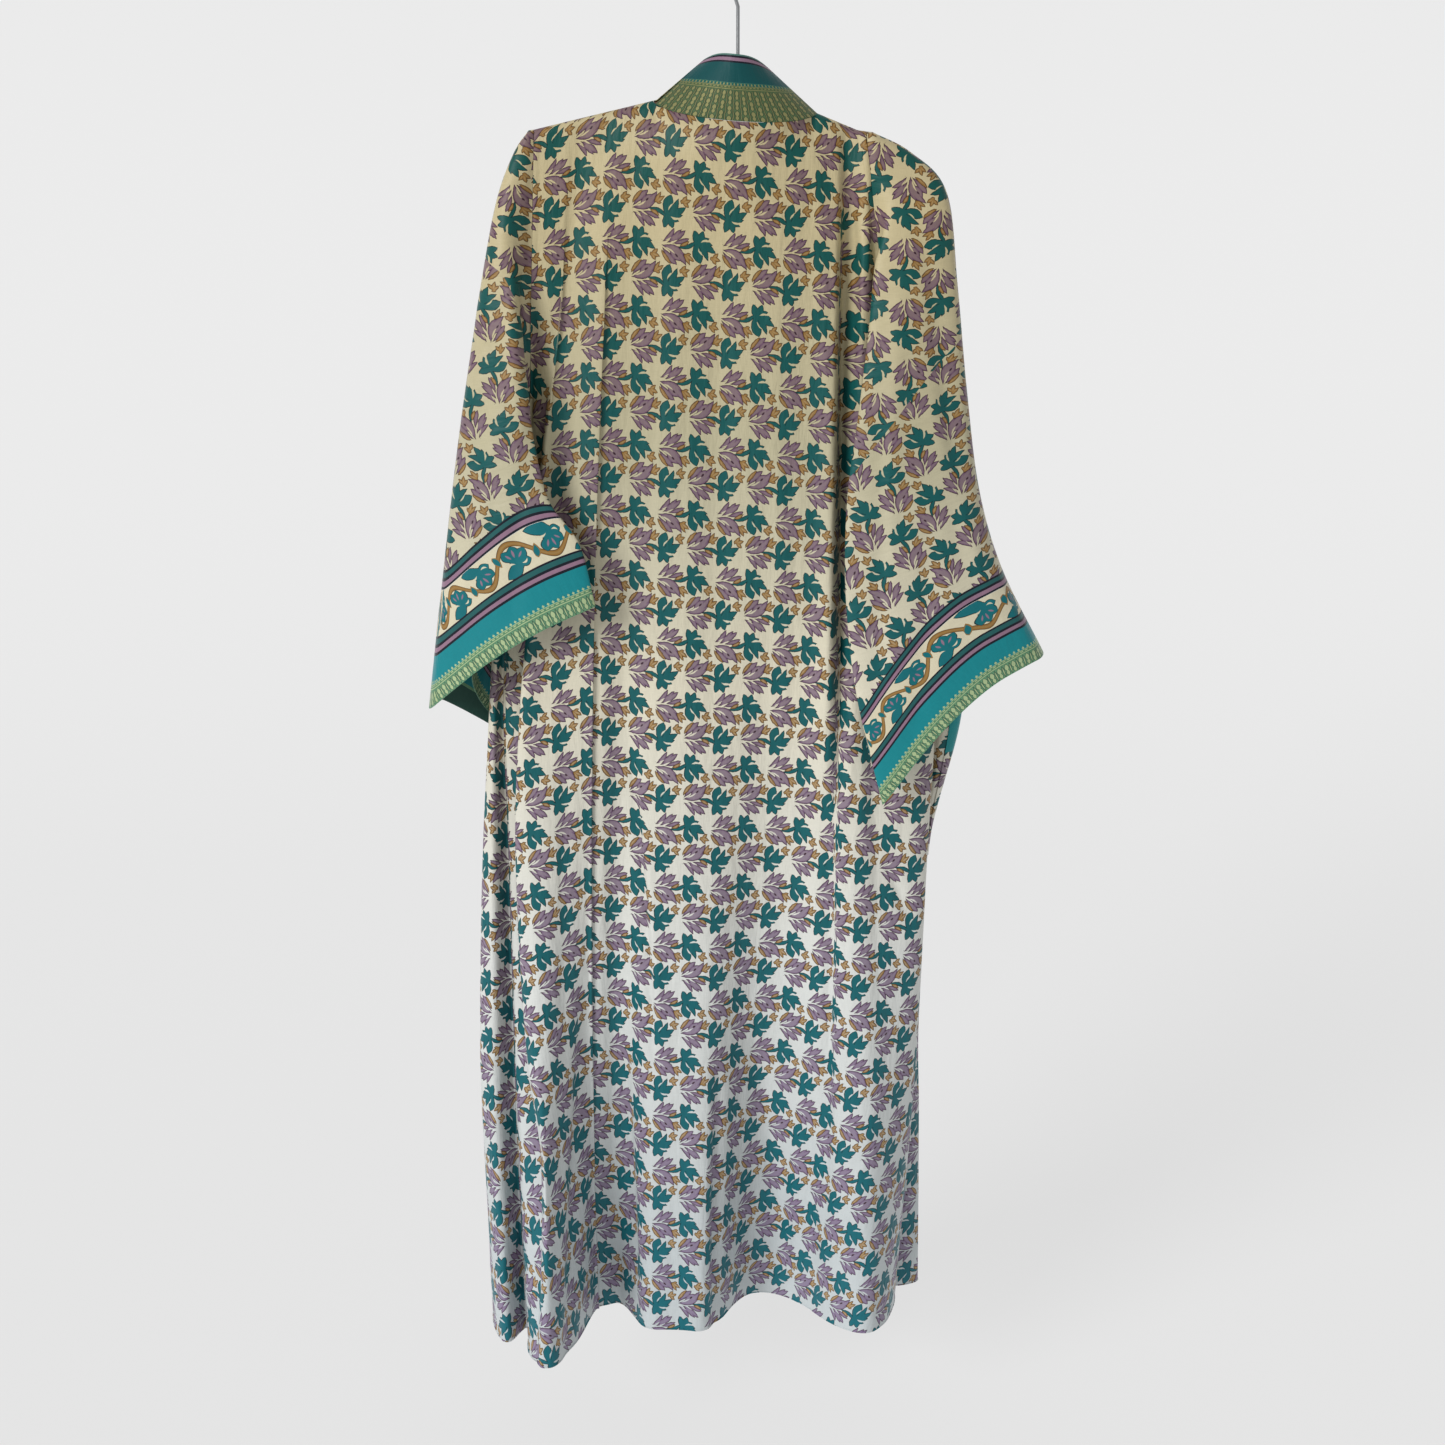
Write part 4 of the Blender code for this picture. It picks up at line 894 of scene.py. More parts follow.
@lru_cache
def sleeve_form(side):
    """Points of a sleeve, its print from the near and the far side, and its border.

    The rows keep their distance from the wrist.
    """
    plain = sleeve_rings(side)
    height = run(plain[::-1], 0)[::-1]
    half = plain.shape[1] / 2
    least, more = CUFF_SPREAD[side]
    columns, heights = [], []
    for k in range(plain.shape[1]):
        whole = height[0, k]
        spread = least + more * (1 - abs(k - half) / half) ** CUFF_SPREAD_FADE
        cuff = np.linspace(CUFF * spread, 0, CUFF_ROWS + 1)
        levels = np.concatenate([np.linspace(whole, cuff[0], SLEEVE_BODY_ROWS, endpoint=False), cuff])
        places = [np.interp(levels, height[::-1, k], plain[::-1, k, axis]) for axis in range(3)]
        columns.append(np.stack(places, axis=1))
        heights.append(levels / spread)
    form = np.stack(columns, axis=1)
    height = np.stack(heights, axis=1)
    ring = np.concatenate([form, form[:, :1]], axis=1)
    round_it = run(ring, 1)
    top = form.shape[1] // 2
    along = (round_it[-1:] - round_it[-1, top]) * -side + beside_edge(ring, side)
    flat = ring[..., [0, 2]]
    near = grain_places(side, flat)
    fold, wrist = flat[0, top], flat[-1, top]
    line = (wrist - fold) / np.linalg.norm(wrist - fold)
    aside = flat - fold
    far = grain_places(side, fold + 2 * (aside @ line)[..., None] * line - aside)
    normals = outwards(form, form - form.mean(axis=1, keepdims=True))
    creases = LEFT_SLEEVE_CREASES if side < 0 else RIGHT_SLEEVE_CREASES
    form = pressed(form, normals, creases)
    height = np.concatenate([height, height[:, :1]], axis=1)
    return form, near, far, np.stack([along, height], axis=2)


def spread_across(start, free):
    """Points from one edge of a band to the other."""
    return [start.lerp(free, k / BAND_STEPS) for k in range(BAND_STEPS + 1)]


def bands_of(points):
    """Print coordinates of a stretch of the neckband: along it, and from its seam to its free edge."""
    along = run(points[:, :1], 0)
    share = np.linspace(0, BAND_WIDTH, points.shape[1])[None, :]
    return np.stack([along + 0 * share, 0 * along + share], axis=2)


def back_band():
    """Points of the band round the back neck, one row for each column of the neck edge."""
    edge = [Vector(p) for p in back_form()[0][0] if NECK_LEFT - SEAM_REACH < p[0] < NECK_RIGHT + SEAM_REACH]
    lifted = [p + Vector((0, 0, SEAM_GAP)) for p in edge]
    return np.array([spread_across(p, band_free_edge(q)) for p, q in zip(lifted, edge)])


def front_band(side):
    """Points of the band down one front, one row for each row of the front's edge."""
    rows = []
    front = front_form(side)[0]
    free_top = band_free_edge(Vector(front[0, -1])) + Vector((0, WALL, 0))
    for points, row in zip(front, fine_rows()):
        distance = row[0]
        seam = Vector(points[-1]) + Vector((-side * SEAM_GAP, 0, 0))
        start = seam + Vector((-side * SEAM_TURN, 0, 0))
        start.z += shoulder_height(start.x) - shoulder_height(seam.x)
        t = smooth_share(distance / BAND_FALL)
        flat = Vector((side * BAND_FRONT_GAP, seam.y, seam.z))
        upright = free_top + Vector((0, min(distance, BAND_LEAN_REACH) * BAND_LEAN, -distance))
        free = upright.lerp(flat, t)
        rows.append([seam] + spread_across(start, free))
    return np.array(rows)


def cloth_mesh(name, points, places, towards, closed=False, choose=None):
    """Sheet: a grid moved onto rows of points, with its print coordinates, joined round where it is closed.

    choose tells a face's surface and coordinates from its row and column, where they aren't all the same.
    """
    columns = points.shape[1] + (1 if closed else 0)
    if towards is None:
        towards = points - points.mean(axis=1, keepdims=True)
    outward = outwards(points, towards)
    bm = bmesh.new()
    bmesh.ops.create_grid(bm, x_segments=columns - 1, y_segments=len(points) - 1, size=1.0)
    bm.verts.ensure_lookup_table()
    layer = bm.loops.layers.uv.new("cloth")
    for index, vertex in enumerate(bm.verts):
        row, column = divmod(index, columns)
        vertex.co = points[row, column % points.shape[1]]
    facing = 0.0
    for face in bm.faces:
        spots = [divmod(loop.vert.index, columns) for loop in face.loops]
        row, column = (min(spot[k] for spot in spots) for k in (0, 1))
        face.material_index, shown = choose(row, column) if choose else (0, places)
        for loop, spot in zip(face.loops, spots):
            loop[layer].uv = shown[spot]
        face.normal_update()
        row, column = spots[0]
        facing += face.normal.dot(outward[row, column % points.shape[1]])
    if facing < 0:
        bmesh.ops.reverse_faces(bm, faces=bm.faces)
    if closed:
        bmesh.ops.remove_doubles(bm, verts=bm.verts, dist=1e-6)
    mesh = bpy.data.meshes.new(name)
    bm.to_mesh(mesh)
    bm.free()
    return mesh


def placed(name, data):
    """An object in the scene that shows a mesh, a light or a camera."""
    made = bpy.data.objects.new(name, data)
    bpy.context.scene.collection.objects.link(made)
    return made


def finished(name, mesh, surfaces, nodes=(), wall=None):
    """A piece of the robe from its mesh: wall, surfaces, and its place in the frame."""
    piece = placed(name, mesh)
    for surface in surfaces:
        mesh.materials.append(surface)
    if wall:
        thick = piece.modifiers.new("wall", "SOLIDIFY")
        thick.thickness = wall
        thick.offset = 0.0
        thick.material_offset = 1 if len(surfaces) > 1 else 0
        thick.material_offset_rim = 0
        walled = bpy.data.meshes.new_from_object(piece.evaluated_get(bpy.context.evaluated_depsgraph_get()))
        piece.modifiers.clear()
        piece.data = walled
        bpy.data.meshes.remove(mesh)
        walled.name = name
        mesh = walled
    mesh.shade_smooth()
    mesh.set_sharp_from_angle(angle=SHARP_ANGLE)
    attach(piece, "root")
    if nodes:
        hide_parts(*nodes)
    return piece


def sewn(name, form, places, towards, surfaces, node, closed=False, choose=None, flat=None):
    """A cloth piece with its wall.

    flat is not used. Without it the cut is still worked out, as the mean length of the columns and the width
    that gives the area.
    """
    mesh = cloth_mesh(name, form, places, towards, closed, choose)
    piece = finished(name, mesh, surfaces, [node], bpy.context.scene.robe_sizes.wall)
    if closed:
        form = np.concatenate([form, form[:, :1]], axis=1)
    if flat is None:
        length = float(np.mean(run(form, 0)[-1]))
        down, across = np.diff(form, axis=0)[:, :-1], np.diff(form, axis=1)[:-1]
        area = float(np.linalg.norm(np.cross(down, across), axis=2).sum())
        flat = (area / length, length)


def tube(name, line, radius, first, second, sides, places):
    """Mesh of a round tube with closed ends. Its rings turn from one direction towards another."""
    turns = [2 * math.pi * k / sides for k in range(sides)]
    ring = [line + radius * (math.cos(turn) * first + math.sin(turn) * second) for turn in turns]
    mesh = cloth_mesh(name, np.stack(ring, axis=1), places, None, closed=True)
    bm = bmesh.new()
    bm.from_mesh(mesh)
    bmesh.ops.holes_fill(bm, edges=bm.edges, sides=sides)
    bmesh.ops.recalc_face_normals(bm, faces=bm.faces)
    bm.to_mesh(mesh)
    bm.free()
    return mesh


def rod(name, line, radius, sides, surface, node):
    """Round rod along a line of points."""
    line = np.array([tuple(p) for p in line])
    side = np.array([0.0, 1.0, 0.0])
    length, girth = run(line[:, None], 0), np.linspace(0, 2 * math.pi * radius, sides + 1)
    places = np.stack([length + 0 * girth, 0 * length + girth], axis=2)
    around = np.cross(unit(np.gradient(line, axis=0)), side)
    return finished(name, tube(name, line, radius, side, around, sides, places), [surface], [node])


def rolled_hem(name, edge, places, surface):
    """Narrow rolled hem along an edge of a piece, with the print running round it."""
    up = np.array([0.0, 0.0, 1.0])
    across = unit(np.cross(unit(np.gradient(edge, axis=0)), up))
    rise = HEM_RADIUS * np.sin(np.linspace(0, 2 * math.pi, HEM_SIDES + 1))
    places = places[:, None] + np.stack([0 * rise, rise], axis=1)
    return finished(name, tube(name, edge, HEM_RADIUS, across, up, HEM_SIDES, places), [surface])


def shade(red, green, blue):
    """Linear colour from screen values up to 255."""
    return tuple(((value / 255 + 0.055) / 1.055) ** 2.4 for value in (red, green, blue))


class Kit:
    """Adds nodes to one shader tree."""

    def __init__(self, tree):
        self.tree = tree

    def add(self, kind, *feeds, **settings):
        """A node with its settings, and its inputs fed in order by sockets or values."""
        node = self.tree.nodes.new("ShaderNode" + kind)
        for name, value in settings.items():
            setattr(node, name, value)
        for number, feed in enumerate(feeds):
            self.feed(node.inputs[number], feed)
        return node

    def feed(self, socket, feed):
        """Links a socket or sets a value; None leaves the input alone."""
        if isinstance(feed, bpy.types.NodeSocket):
            self.tree.links.new(feed, socket)
        elif feed is not None:
            socket.default_value = feed

    def math(self, operation, *feeds, clamp=False):
        """One step of arithmetic."""
        return self.add("Math", *feeds, operation=operation, use_clamp=clamp).outputs[0]

    def vector(self, operation, *feeds):
        """One step of arithmetic on three values at once."""
        return self.add("VectorMath", *feeds, operation=operation).outputs[0]

    def split(self, vector):
        """The three values of a vector."""
        return self.add("SeparateXYZ", vector).outputs

    def mix(self, share, first, second, blend="MIX"):
        """Colour mixed from two, either of which may be a plain colour."""
        node = self.add("Mix", share, data_type="RGBA", blend_type=blend)
        for number, feed in ((6, first), (7, second)):
            plain = not isinstance(feed, bpy.types.NodeSocket)
            self.feed(node.inputs[number], (*feed[:3], 1.0) if plain else feed)
        return node.outputs[2]

    def over(self, field, level, soft=EDGE_SOFT):
        """1 where a field is over a level, with a soft edge."""
        return self.math("MULTIPLY_ADD", field, 1 / soft, 0.5 - level / soft, clamp=True)

    def between(self, field, low, high, soft=EDGE_SOFT):
        """1 where a field lies between two levels."""
        beyond = self.math("SUBTRACT", 1.0, self.over(field, high, soft))
        return self.math("MULTIPLY", self.over(field, low, soft), beyond)

    def noise(self, place, scale, detail, roughness):
        """Soft noise over a place that is scaled first."""
        scaled = self.vector("MULTIPLY", place, scale)
        return self.add("TexNoise", scaled, None, 1.0, detail, roughness).outputs[0]

    def ramp(self, value, stops, interpolation="LINEAR"):
        """Colours along a value, each set at its own place."""
        node = self.add("ValToRGB", value)
        ramp = node.color_ramp
        ramp.interpolation = interpolation
        while len(ramp.elements) < len(stops):
            ramp.elements.new(1.0)
        for element, (start, colour) in zip(ramp.elements, stops):
            element.position = start
            element.color = (*colour[:3], 1.0)
        return node.outputs[0]

    def bands(self, depth, rows):
        """Plain bands of colour side by side, from the edge of a border inwards."""
        whole = sum(row.width for row in rows)
        stops, start = [], 0.0
        for row in rows:
            stops.append((start / whole, getattr(bpy.context.scene.robe_colours, row.tone)))
            start += row.width
        return self.ramp(self.math("DIVIDE", depth, whole), stops, "CONSTANT")

    def bump(self, height, strength, distance, under=None):
        """Small relief over the relief under it."""
        node = self.add("Bump")
        feeds = {"Strength": strength, "Distance": distance, "Height": height, "Normal": under}
        for name, feed in feeds.items():
            self.feed(node.inputs[name], feed)
        return node.outputs[0]

    def paint(self, values):
        """Sets or links the inputs of the material's shader by their names."""
        shader = self.tree.nodes["Principled BSDF"]
        for name, feed in values.items():
            self.feed(shader.inputs[name], feed)

    def inside(self, across, up, petals):
        """How far each petal reaches past a place, in millimetres, three at a time; below zero outside."""
        fields = []
        for first in range(0, len(petals), 3):
            facts = zip(*(petal_facts(petal) for petal in petals[first:first + 3]))
            share_x, share_y, share_start, aside_x, aside_y, aside_start, arch, spread, foot, least = facts
            share = self.vector("MULTIPLY_ADD", up, share_y, share_start)
            share = self.vector("MULTIPLY_ADD", across, share_x, share)
            aside = self.vector("MULTIPLY_ADD", up, aside_y, aside_start)
            aside = self.vector("MULTIPLY_ADD", across, aside_x, aside)
            hill = self.vector("MULTIPLY", share, self.vector("MULTIPLY_ADD", share, (-1, -1, -1), (1, 1, 1)))
            aside = self.vector("ABSOLUTE", self.vector("MULTIPLY_ADD", hill, arch, aside))
            wide = foot
            if any(spread):
                wide = self.vector("MAXIMUM", self.vector("MULTIPLY_ADD", share, spread, foot), least)
            fields += list(self.split(self.vector("SUBTRACT", self.vector("MULTIPLY", hill, wide), aside)))
        return fields

    def greatest(self, fields):
        """The greatest of some fields at each place."""
        found = fields[0]
        for field in fields[1:]:
            found = self.math("MAXIMUM", found, field)
        return found

    def layers(self, colour, field, *layers):
        """Colours laid over one another, each from its own level of a field up."""
        for level, tone in layers:
            colour = self.mix(self.over(field, level), colour, tone)
        return colour

    def drawn(self, colour, petals, outline, fill, pale=0.0):
        """Petals drawn over a colour: dark outline, fill, and a share of the colour below in their hearts."""
        reach = self.greatest(petals)
        inked = self.layers(colour, reach, (OUTLINE_EDGE, outline), (FILL_EDGE, fill))
        if not pale:
            return inked
        heart = self.math("MULTIPLY", self.over(reach, HEART_EDGE, HEART_SOFT), pale)
        return self.mix(heart, inked, colour)


def petal_facts(petal):
    """Axes along and across a petal, its arch, and a width that may grow towards the tip."""
    x, y = petal.tip_x - petal.x, petal.tip_y - petal.y
    length = math.hypot(x, y)
    c, s = x / length, y / length
    along = (c / length, s / length, -(petal.x * c + petal.y * s) / length)
    aside = (-s, c, petal.x * s - petal.y * c)
    grown = (4 * petal.width * petal.full, 2 * petal.width * (1 - petal.full), PETAL_LEAST * petal.width)
    return along + aside + (-4 * petal.arch,) + grown


# Print chart, in millimetres from the foot of a spray: foot and tip of each petal, width, arch and fullness.
# The charts hold petals by threes.
Petal = namedtuple("Petal", "x y tip_x tip_y width arch full", defaults=(0.0, 0.0))
OCHRE_PETALS = [
    Petal(-1.4, 5.0, 8.6, 17.4, 3.2, 0.5),
    Petal(17.8, -0.6, 26.2, -5.2, 3.0, 0.5),
    Petal(23.4, 7.6, 28.4, 6.6, 2.2),
    Petal(22.0, 7.0, 27.6, 16.6, 3.0),
    Petal(22.4, 7.0, 31.4, 13.2, 3.4),
    Petal(49.4, 7.6, 50.6, 11.6, 2.4),
    Petal(50.0, 8.2, 54.4, 14.6, 3.2),
    Petal(50.0, 8.2, 58.4, 11.2, 3.4),
    Petal(51.0, 9.0, 56.4, 4.4, 3.0),
]
LILAC_PETALS = [
    Petal(0.2, 3.2, 14.2, 17.4, 5.2, 0.6, 0.45),
    Petal(0.0, 0.2, 23.8, 16.9, 6.8, -3.6, 0.2),
    Petal(0.6, 0.2, 21.8, 7.6, 4.8, -2.0, 0.3),
    Petal(7.4, 4.6, 18.4, 13.6, 6.4),
    Petal(0.6, -4.2, 11.2, -16.6, 3.8, 1.5, 0.2),
    Petal(5.4, -3.2, 22.4, -15.2, 4.8, 0.8, 0.3),
    Petal(11.2, -2.6, 26.2, -7.8, 3.8, 0.6, 0.3),
    Petal(7.4, -6.4, 19.0, -11.4, 5.6),
    Petal(9.0, -5.2, 18.2, -15.8, 3.8),
]
LEAF_PETALS = [
    Petal(33.6, -7.0, 38.4, 15.0, 8.8, 1.2, 0.55),
    Petal(34.4, -6.0, 46.0, 11.4, 5.0, -1.6, 0.2),
    Petal(33.0, -4.4, 53.4, 3.8, 6.6, -1.2, 0.1),
    Petal(34.0, -2.0, 50.2, -3.4, 5.2, -2.0, 0.1),
    Petal(33.0, -2.6, 46.6, -9.4, 4.6, -1.0, 0.3),
    Petal(34.4, 1.0, 40.8, -16.0, 6.6, 0.4, 0.3),
    Petal(35.4, 1.0, 31.8, -16.4, 6.4, 0.6, 0.3),
    Petal(15.6, 0.8, 34.0, -6.0, 3.4, 2.4, 0.4),
    Petal(33.4, 0.4, 42.2, 5.8, 4.2, 0.8),
]
# A dark spot on the lilac, then slits through which the ground shows
SPRAY_CUTS = [
    Petal(12.4, 7.4, 15.6, 10.4, 1.8),
    Petal(35.8, 0.4, 41.4, 7.4, 1.5, 0.8),
    Petal(38.4, -5.4, 48.0, -6.0, 2.2, -1.4),
    Petal(2.4, 2.0, 12.6, 7.4, 1.7, -0.7),
    Petal(2.6, -4.8, 8.6, -8.2, 1.1, 0.3),
    Petal(8.0, -3.4, 15.0, -6.2, 1.1, 0.3),
]
# Borders, in millimetres: charts of a woven medallion and of the flower and bud in a bend of the vine
MEDALLION_PETALS = [
    Petal(0.0, 0.6, 0.0, 6.8, 3.8),
    Petal(0.0, 5.4, 0.0, 12.8, 4.6),
    Petal(4.2, 0.8, 4.2, 12.4, 1.5),
]
FLOWER_PETALS = [
    Petal(-1.4, -5.0, -6.2, 8.6, 8.6, 0.0, 0.5),
    Petal(0.4, -5.0, 2.8, 9.4, 8.6, 0.0, 0.5),
    Petal(0.6, -5.6, 11.8, 3.0, 8.8, 0.0, 0.5),
    Petal(0.0, -7.0, 12.6, -8.0, 8.6, 0.0, 0.3),
    Petal(3.6, 3.0, -4.0, -15.4, 12.0),
    Petal(5.0, -5.0, -15.0, -14.8, 11.0, 1.6, 0.1),
]
FLOWER_HEART = [
    Petal(0.6, -1.0, 2.2, 6.4, 1.9),
    Petal(-2.4, -0.6, -4.8, 5.2, 1.7),
    Petal(3.8, -2.4, 8.8, 1.2, 1.7),
]
FLOWER_CURLS = [
    Petal(-9.6, -7.6, -2.0, -6.4, 2.2, 2.6),
    Petal(4.0, -8.0, 9.8, -6.2, 1.7, -1.4),
    Petal(-14.8, 9.8, -12.9, -1.4, 5.0, 0.0, -0.3),
]


@lru_cache
def spray_print():
    """Node group of the print: rows of sprays, each second row turned over and set half a repeat on."""
    sizes, colours = bpy.context.scene.robe_sizes, bpy.context.scene.robe_colours
    repeat, row = CHART_REPEAT, CHART_ROW
    tree = bpy.data.node_groups.new("spray print", "ShaderNodeTree")
    for name, kind in (("Place", "Vector"), ("Ground", "Color"), ("Depth", "Float")):
        tree.interface.new_socket(name, in_out="INPUT", socket_type="NodeSocket" + kind)
    tree.interface.new_socket("Colour", in_out="OUTPUT", socket_type="NodeSocketColor")
    kit = Kit(tree)
    given = tree.nodes.new("NodeGroupInput").outputs
    place, ground, depth = given[0], given[1], given[2]
    scaled = kit.vector("MULTIPLY", place, (WANDER_SCALE, WANDER_SCALE, 0))
    wander = kit.add("TexNoise", scaled, None, 1.0, 1.0, 0.5).outputs[1]
    fitted = kit.vector("MULTIPLY", place, (repeat / (sizes.repeat * 1000), row / (sizes.row * 1000), 0))
    fitted = kit.vector("ADD", fitted, (-WANDER / 2, -WANDER / 2, 0))
    across, up, _ = kit.split(kit.vector("MULTIPLY_ADD", wander, (WANDER, WANDER, 0), fitted))
    level = kit.math("WRAP", up, row, -row)
    turn = 2 * math.pi / repeat
    swing = kit.math("MULTIPLY", across, turn)
    waves = [kit.math("COSINE", kit.math("SUBTRACT", swing, wave.crest * turn)) for wave in ROW_WAVES]
    high, low = (
        kit.math("MULTIPLY_ADD", wave, line.height, line.level * row) for wave, line in zip(waves, ROW_WAVES)
    )
    second = kit.math("MAXIMUM", kit.math("GREATER_THAN", level, high), kit.math("LESS_THAN", level, low))
    x = kit.math("MULTIPLY_ADD", second, repeat / 2, kit.math("ADD", across, SPRAY_START))
    x = kit.math("SUBTRACT", kit.math("WRAP", x, repeat, 0.0), SPRAY_START)
    other = kit.math("SUBTRACT", kit.math("MULTIPLY", kit.math("SIGN", level), row), level)
    y = kit.math("MULTIPLY_ADD", second, kit.math("SUBTRACT", other, level), level)
    colour = ground
    for petals, line, fill, pale in (
        (LEAF_PETALS, "teal_line", "teal", 0.0),
        (LILAC_PETALS, "plum_line", "lilac", 0.16),
        (OCHRE_PETALS, "brown_line", "ochre", 0.3),
    ):
        # Painted shade: each fill darkens to its deep tone towards the shoulders, where Depth is 0.
        toned = kit.mix(depth, getattr(colours, fill + "_deep"), getattr(colours, fill))
        colour = kit.drawn(colour, kit.inside(x, y, petals), getattr(colours, line), toned, pale)
    spot, *slits = kit.inside(x, y, SPRAY_CUTS)
    colour = kit.layers(colour, spot, (0.0, colours.plum_line))
    colour = kit.layers(colour, kit.greatest(slits), (0.0, ground))
    tree.links.new(colour, tree.nodes.new("NodeGroupOutput").inputs[0])
    return tree


def cloth_place(kit):
    """Print coordinates of the piece in millimetres."""
    return kit.vector("MULTIPLY", kit.add("UVMap", uv_map="cloth").outputs[0], (1000, 1000, 0))


def height_share(kit):
    """0 at the hem and 1 at the shoulder, from the place on the robe."""
    z = kit.split(kit.add("TexCoord").outputs["Object"])[2]
    return kit.math("MULTIPLY_ADD", z, 1 / (ROBE_TOP - HEM), -HEM / (ROBE_TOP - HEM), clamp=True)


def silk_finish(kit, colour, place, roughness, metal=0.0, crimp=0.2, sheen=0.06):
    """Silk surface over a colour: fine uneven threads both ways, small crimps and a soft sheen."""
    down, over = (kit.noise(place, scale, 2.0, 0.6) for scale in THREAD_SCALES)
    threads = kit.math("MULTIPLY", kit.math("ADD", down, over), 0.5)
    crimps = kit.bump(kit.noise(place, CRIMP_SCALE, 3.0, 0.55), crimp, CRIMP_DEPTH)
    kit.paint({
        "Base Color": kit.mix(1.0, colour, kit.ramp(threads, THREAD_TONES), "MULTIPLY"),
        "Normal": kit.bump(threads, THREAD_RELIEF, THREAD_DEPTH, crimps),
        "Roughness": kit.math("MULTIPLY_ADD", threads, THREAD_GLOSS, roughness - THREAD_GLOSS / 2),
        "Metallic": metal,
        "Sheen Weight": sheen,
        "Sheen Roughness": 0.4,
        "Specular IOR Level": 0.25,
    })


def new_surface(name):
    made = bpy.data.materials.new(name)
    made.use_nodes = True
    return made, Kit(made.node_tree)


@lru_cache
def printed_silk(name, reverse=False):
    """Printed silk from its right side, or its paler reverse, on a ground that cools towards the hem.

    Painted shade darkens the ground towards the shoulders and at the hem, and the print towards the
    shoulders.
    """
    colours = bpy.context.scene.robe_colours
    made, kit = new_surface(name)
    place, height = cloth_place(kit), height_share(kit)
    # Painted shade: the ground ramp darkens at the shoulders and at the hem.
    ground = kit.ramp(height, [(start, getattr(colours, name)) for start, name in GROUND_AND_SHADE_TONES])
    group = kit.add("Group")
    group.node_tree = spray_print()
    # Depth is 0 at the shoulders and 1 at the hem; it sets how much painted shade darkens the print.
    for number, feed in enumerate((place, ground, kit.math("SUBTRACT", 1.0, height))):
        kit.feed(group.inputs[number], feed)
    colour = group.outputs[0]
    if reverse:
        colour = kit.mix(REVERSE_FADE, colour, ground)
    silk_finish(kit, colour, place, roughness=0.50, crimp=0.35)
    return made


def zari(kit, colour, along, depth, reach, tiers=1, tint=None):
    """Gold-woven edge over a colour: medallions, pale threads, dashes and teeth. Also its share of metal."""
    colours = bpy.context.scene.robe_colours
    rise = reach - ZARI_LINES
    if tiers > 1:
        odd = kit.math("PINGPONG", kit.math("FLOOR", kit.math("DIVIDE", along, ZARI_PITCH)), 1.0)
        level = kit.math("MULTIPLY_ADD", odd, rise / tiers / 2, depth)
        folded = kit.math("SUBTRACT", kit.math("WRAP", along, ZARI_PITCH, 0.0), ZARI_PITCH / 2)
        folded = kit.math("ABSOLUTE", folded)
    else:
        level, folded = depth, kit.math("PINGPONG", along, ZARI_PITCH / 2)
    up = kit.math("MULTIPLY", kit.math("WRAP", level, rise / tiers, 0.0), MEDALLION_RISE * tiers / rise)
    medallions = kit.inside(folded, up, MEDALLION_PETALS)
    from_top = kit.math("SUBTRACT", reach, depth)
    beside = kit.math("PINGPONG", along, TOOTH_PITCH / 2)
    tooth = kit.math("ADD", beside, kit.math("ABSOLUTE", kit.math("SUBTRACT", from_top, TOOTH_REACH)))
    lines = kit.greatest([
        kit.between(from_top, *UPPER_THREAD),
        kit.between(from_top, *LOWER_THREAD),
        kit.math("MULTIPLY", kit.over(beside, DASH_GAP), kit.between(from_top, *DASH_ROW)),
        kit.over(kit.math("SUBTRACT", TOOTH_REACH, tooth), 0.0),
    ])
    threads = kit.math("MULTIPLY", kit.math("PINGPONG", depth, 0.5), 1.4)
    ground = kit.mix(threads, colours.zari_ground, colours.zari)
    plain = kit.mix(kit.over(from_top, TOOTH_GROUND), colours.cuff_teal, ground)
    field = kit.mix(0.45, ground, colours.zari)
    field = kit.drawn(field, medallions, colours.zari_line, colours.zari_light)
    woven = kit.mix(kit.math("LESS_THAN", depth, rise), kit.mix(lines, plain, colours.zari_light), field)
    if tint:
        woven = kit.mix(1.0, woven, tint, "MULTIPLY")
    gold = kit.math("MAXIMUM", lines, kit.over(kit.greatest(medallions), 0.0))
    in_zari = kit.math("LESS_THAN", depth, reach)
    metal = kit.math("MULTIPLY", kit.math("MULTIPLY", in_zari, gold), GOLD_METAL)
    return kit.mix(in_zari, colour, woven), metal


def vine(kit, along, depth):
    """Running vine on cream, with a flower and a bud in each bend. depth is measured from its middle line."""
    colours = bpy.context.scene.robe_colours
    half = kit.math("FLOOR", kit.math("DIVIDE", along, VINE_PITCH))
    turned = kit.math("MULTIPLY_ADD", kit.math("PINGPONG", half, 1.0), 2.0, -1.0)
    a = kit.math("SUBTRACT", kit.math("WRAP", along, VINE_PITCH, 0.0), VINE_PITCH / 2)
    b = kit.math("MULTIPLY", turned, depth)
    swing = kit.math("SINE", kit.math("MULTIPLY", along, math.pi / VINE_PITCH))
    aside = kit.math("ABSOLUTE", kit.math("MULTIPLY_ADD", swing, VINE_SWING, depth))
    stem = kit.math("SUBTRACT", STEM_HALF, kit.math("MULTIPLY", STEM_THIN, aside))
    colour = kit.layers(colours.cuff_ground, stem, (-0.3, colours.brown_line), (0.25, colours.ochre_deep))
    colour = kit.mix(kit.math("MULTIPLY", kit.over(stem, 1.25), 0.6), colour, colours.ochre)
    colour = kit.drawn(colour, kit.inside(a, b, FLOWER_PETALS), colours.teal_line, colours.flower_teal)
    colour = kit.layers(colour, kit.greatest(kit.inside(a, b, FLOWER_HEART)), (0.0, colours.stripe_lilac))
    curl, side_curl, bud = kit.inside(a, b, FLOWER_CURLS)
    colour = kit.layers(colour, kit.math("MAXIMUM", curl, side_curl), (0.0, colours.cuff_ground))
    return kit.layers(colour, bud, (-0.7, colours.ochre_deep), (0.3, colours.flower_teal))


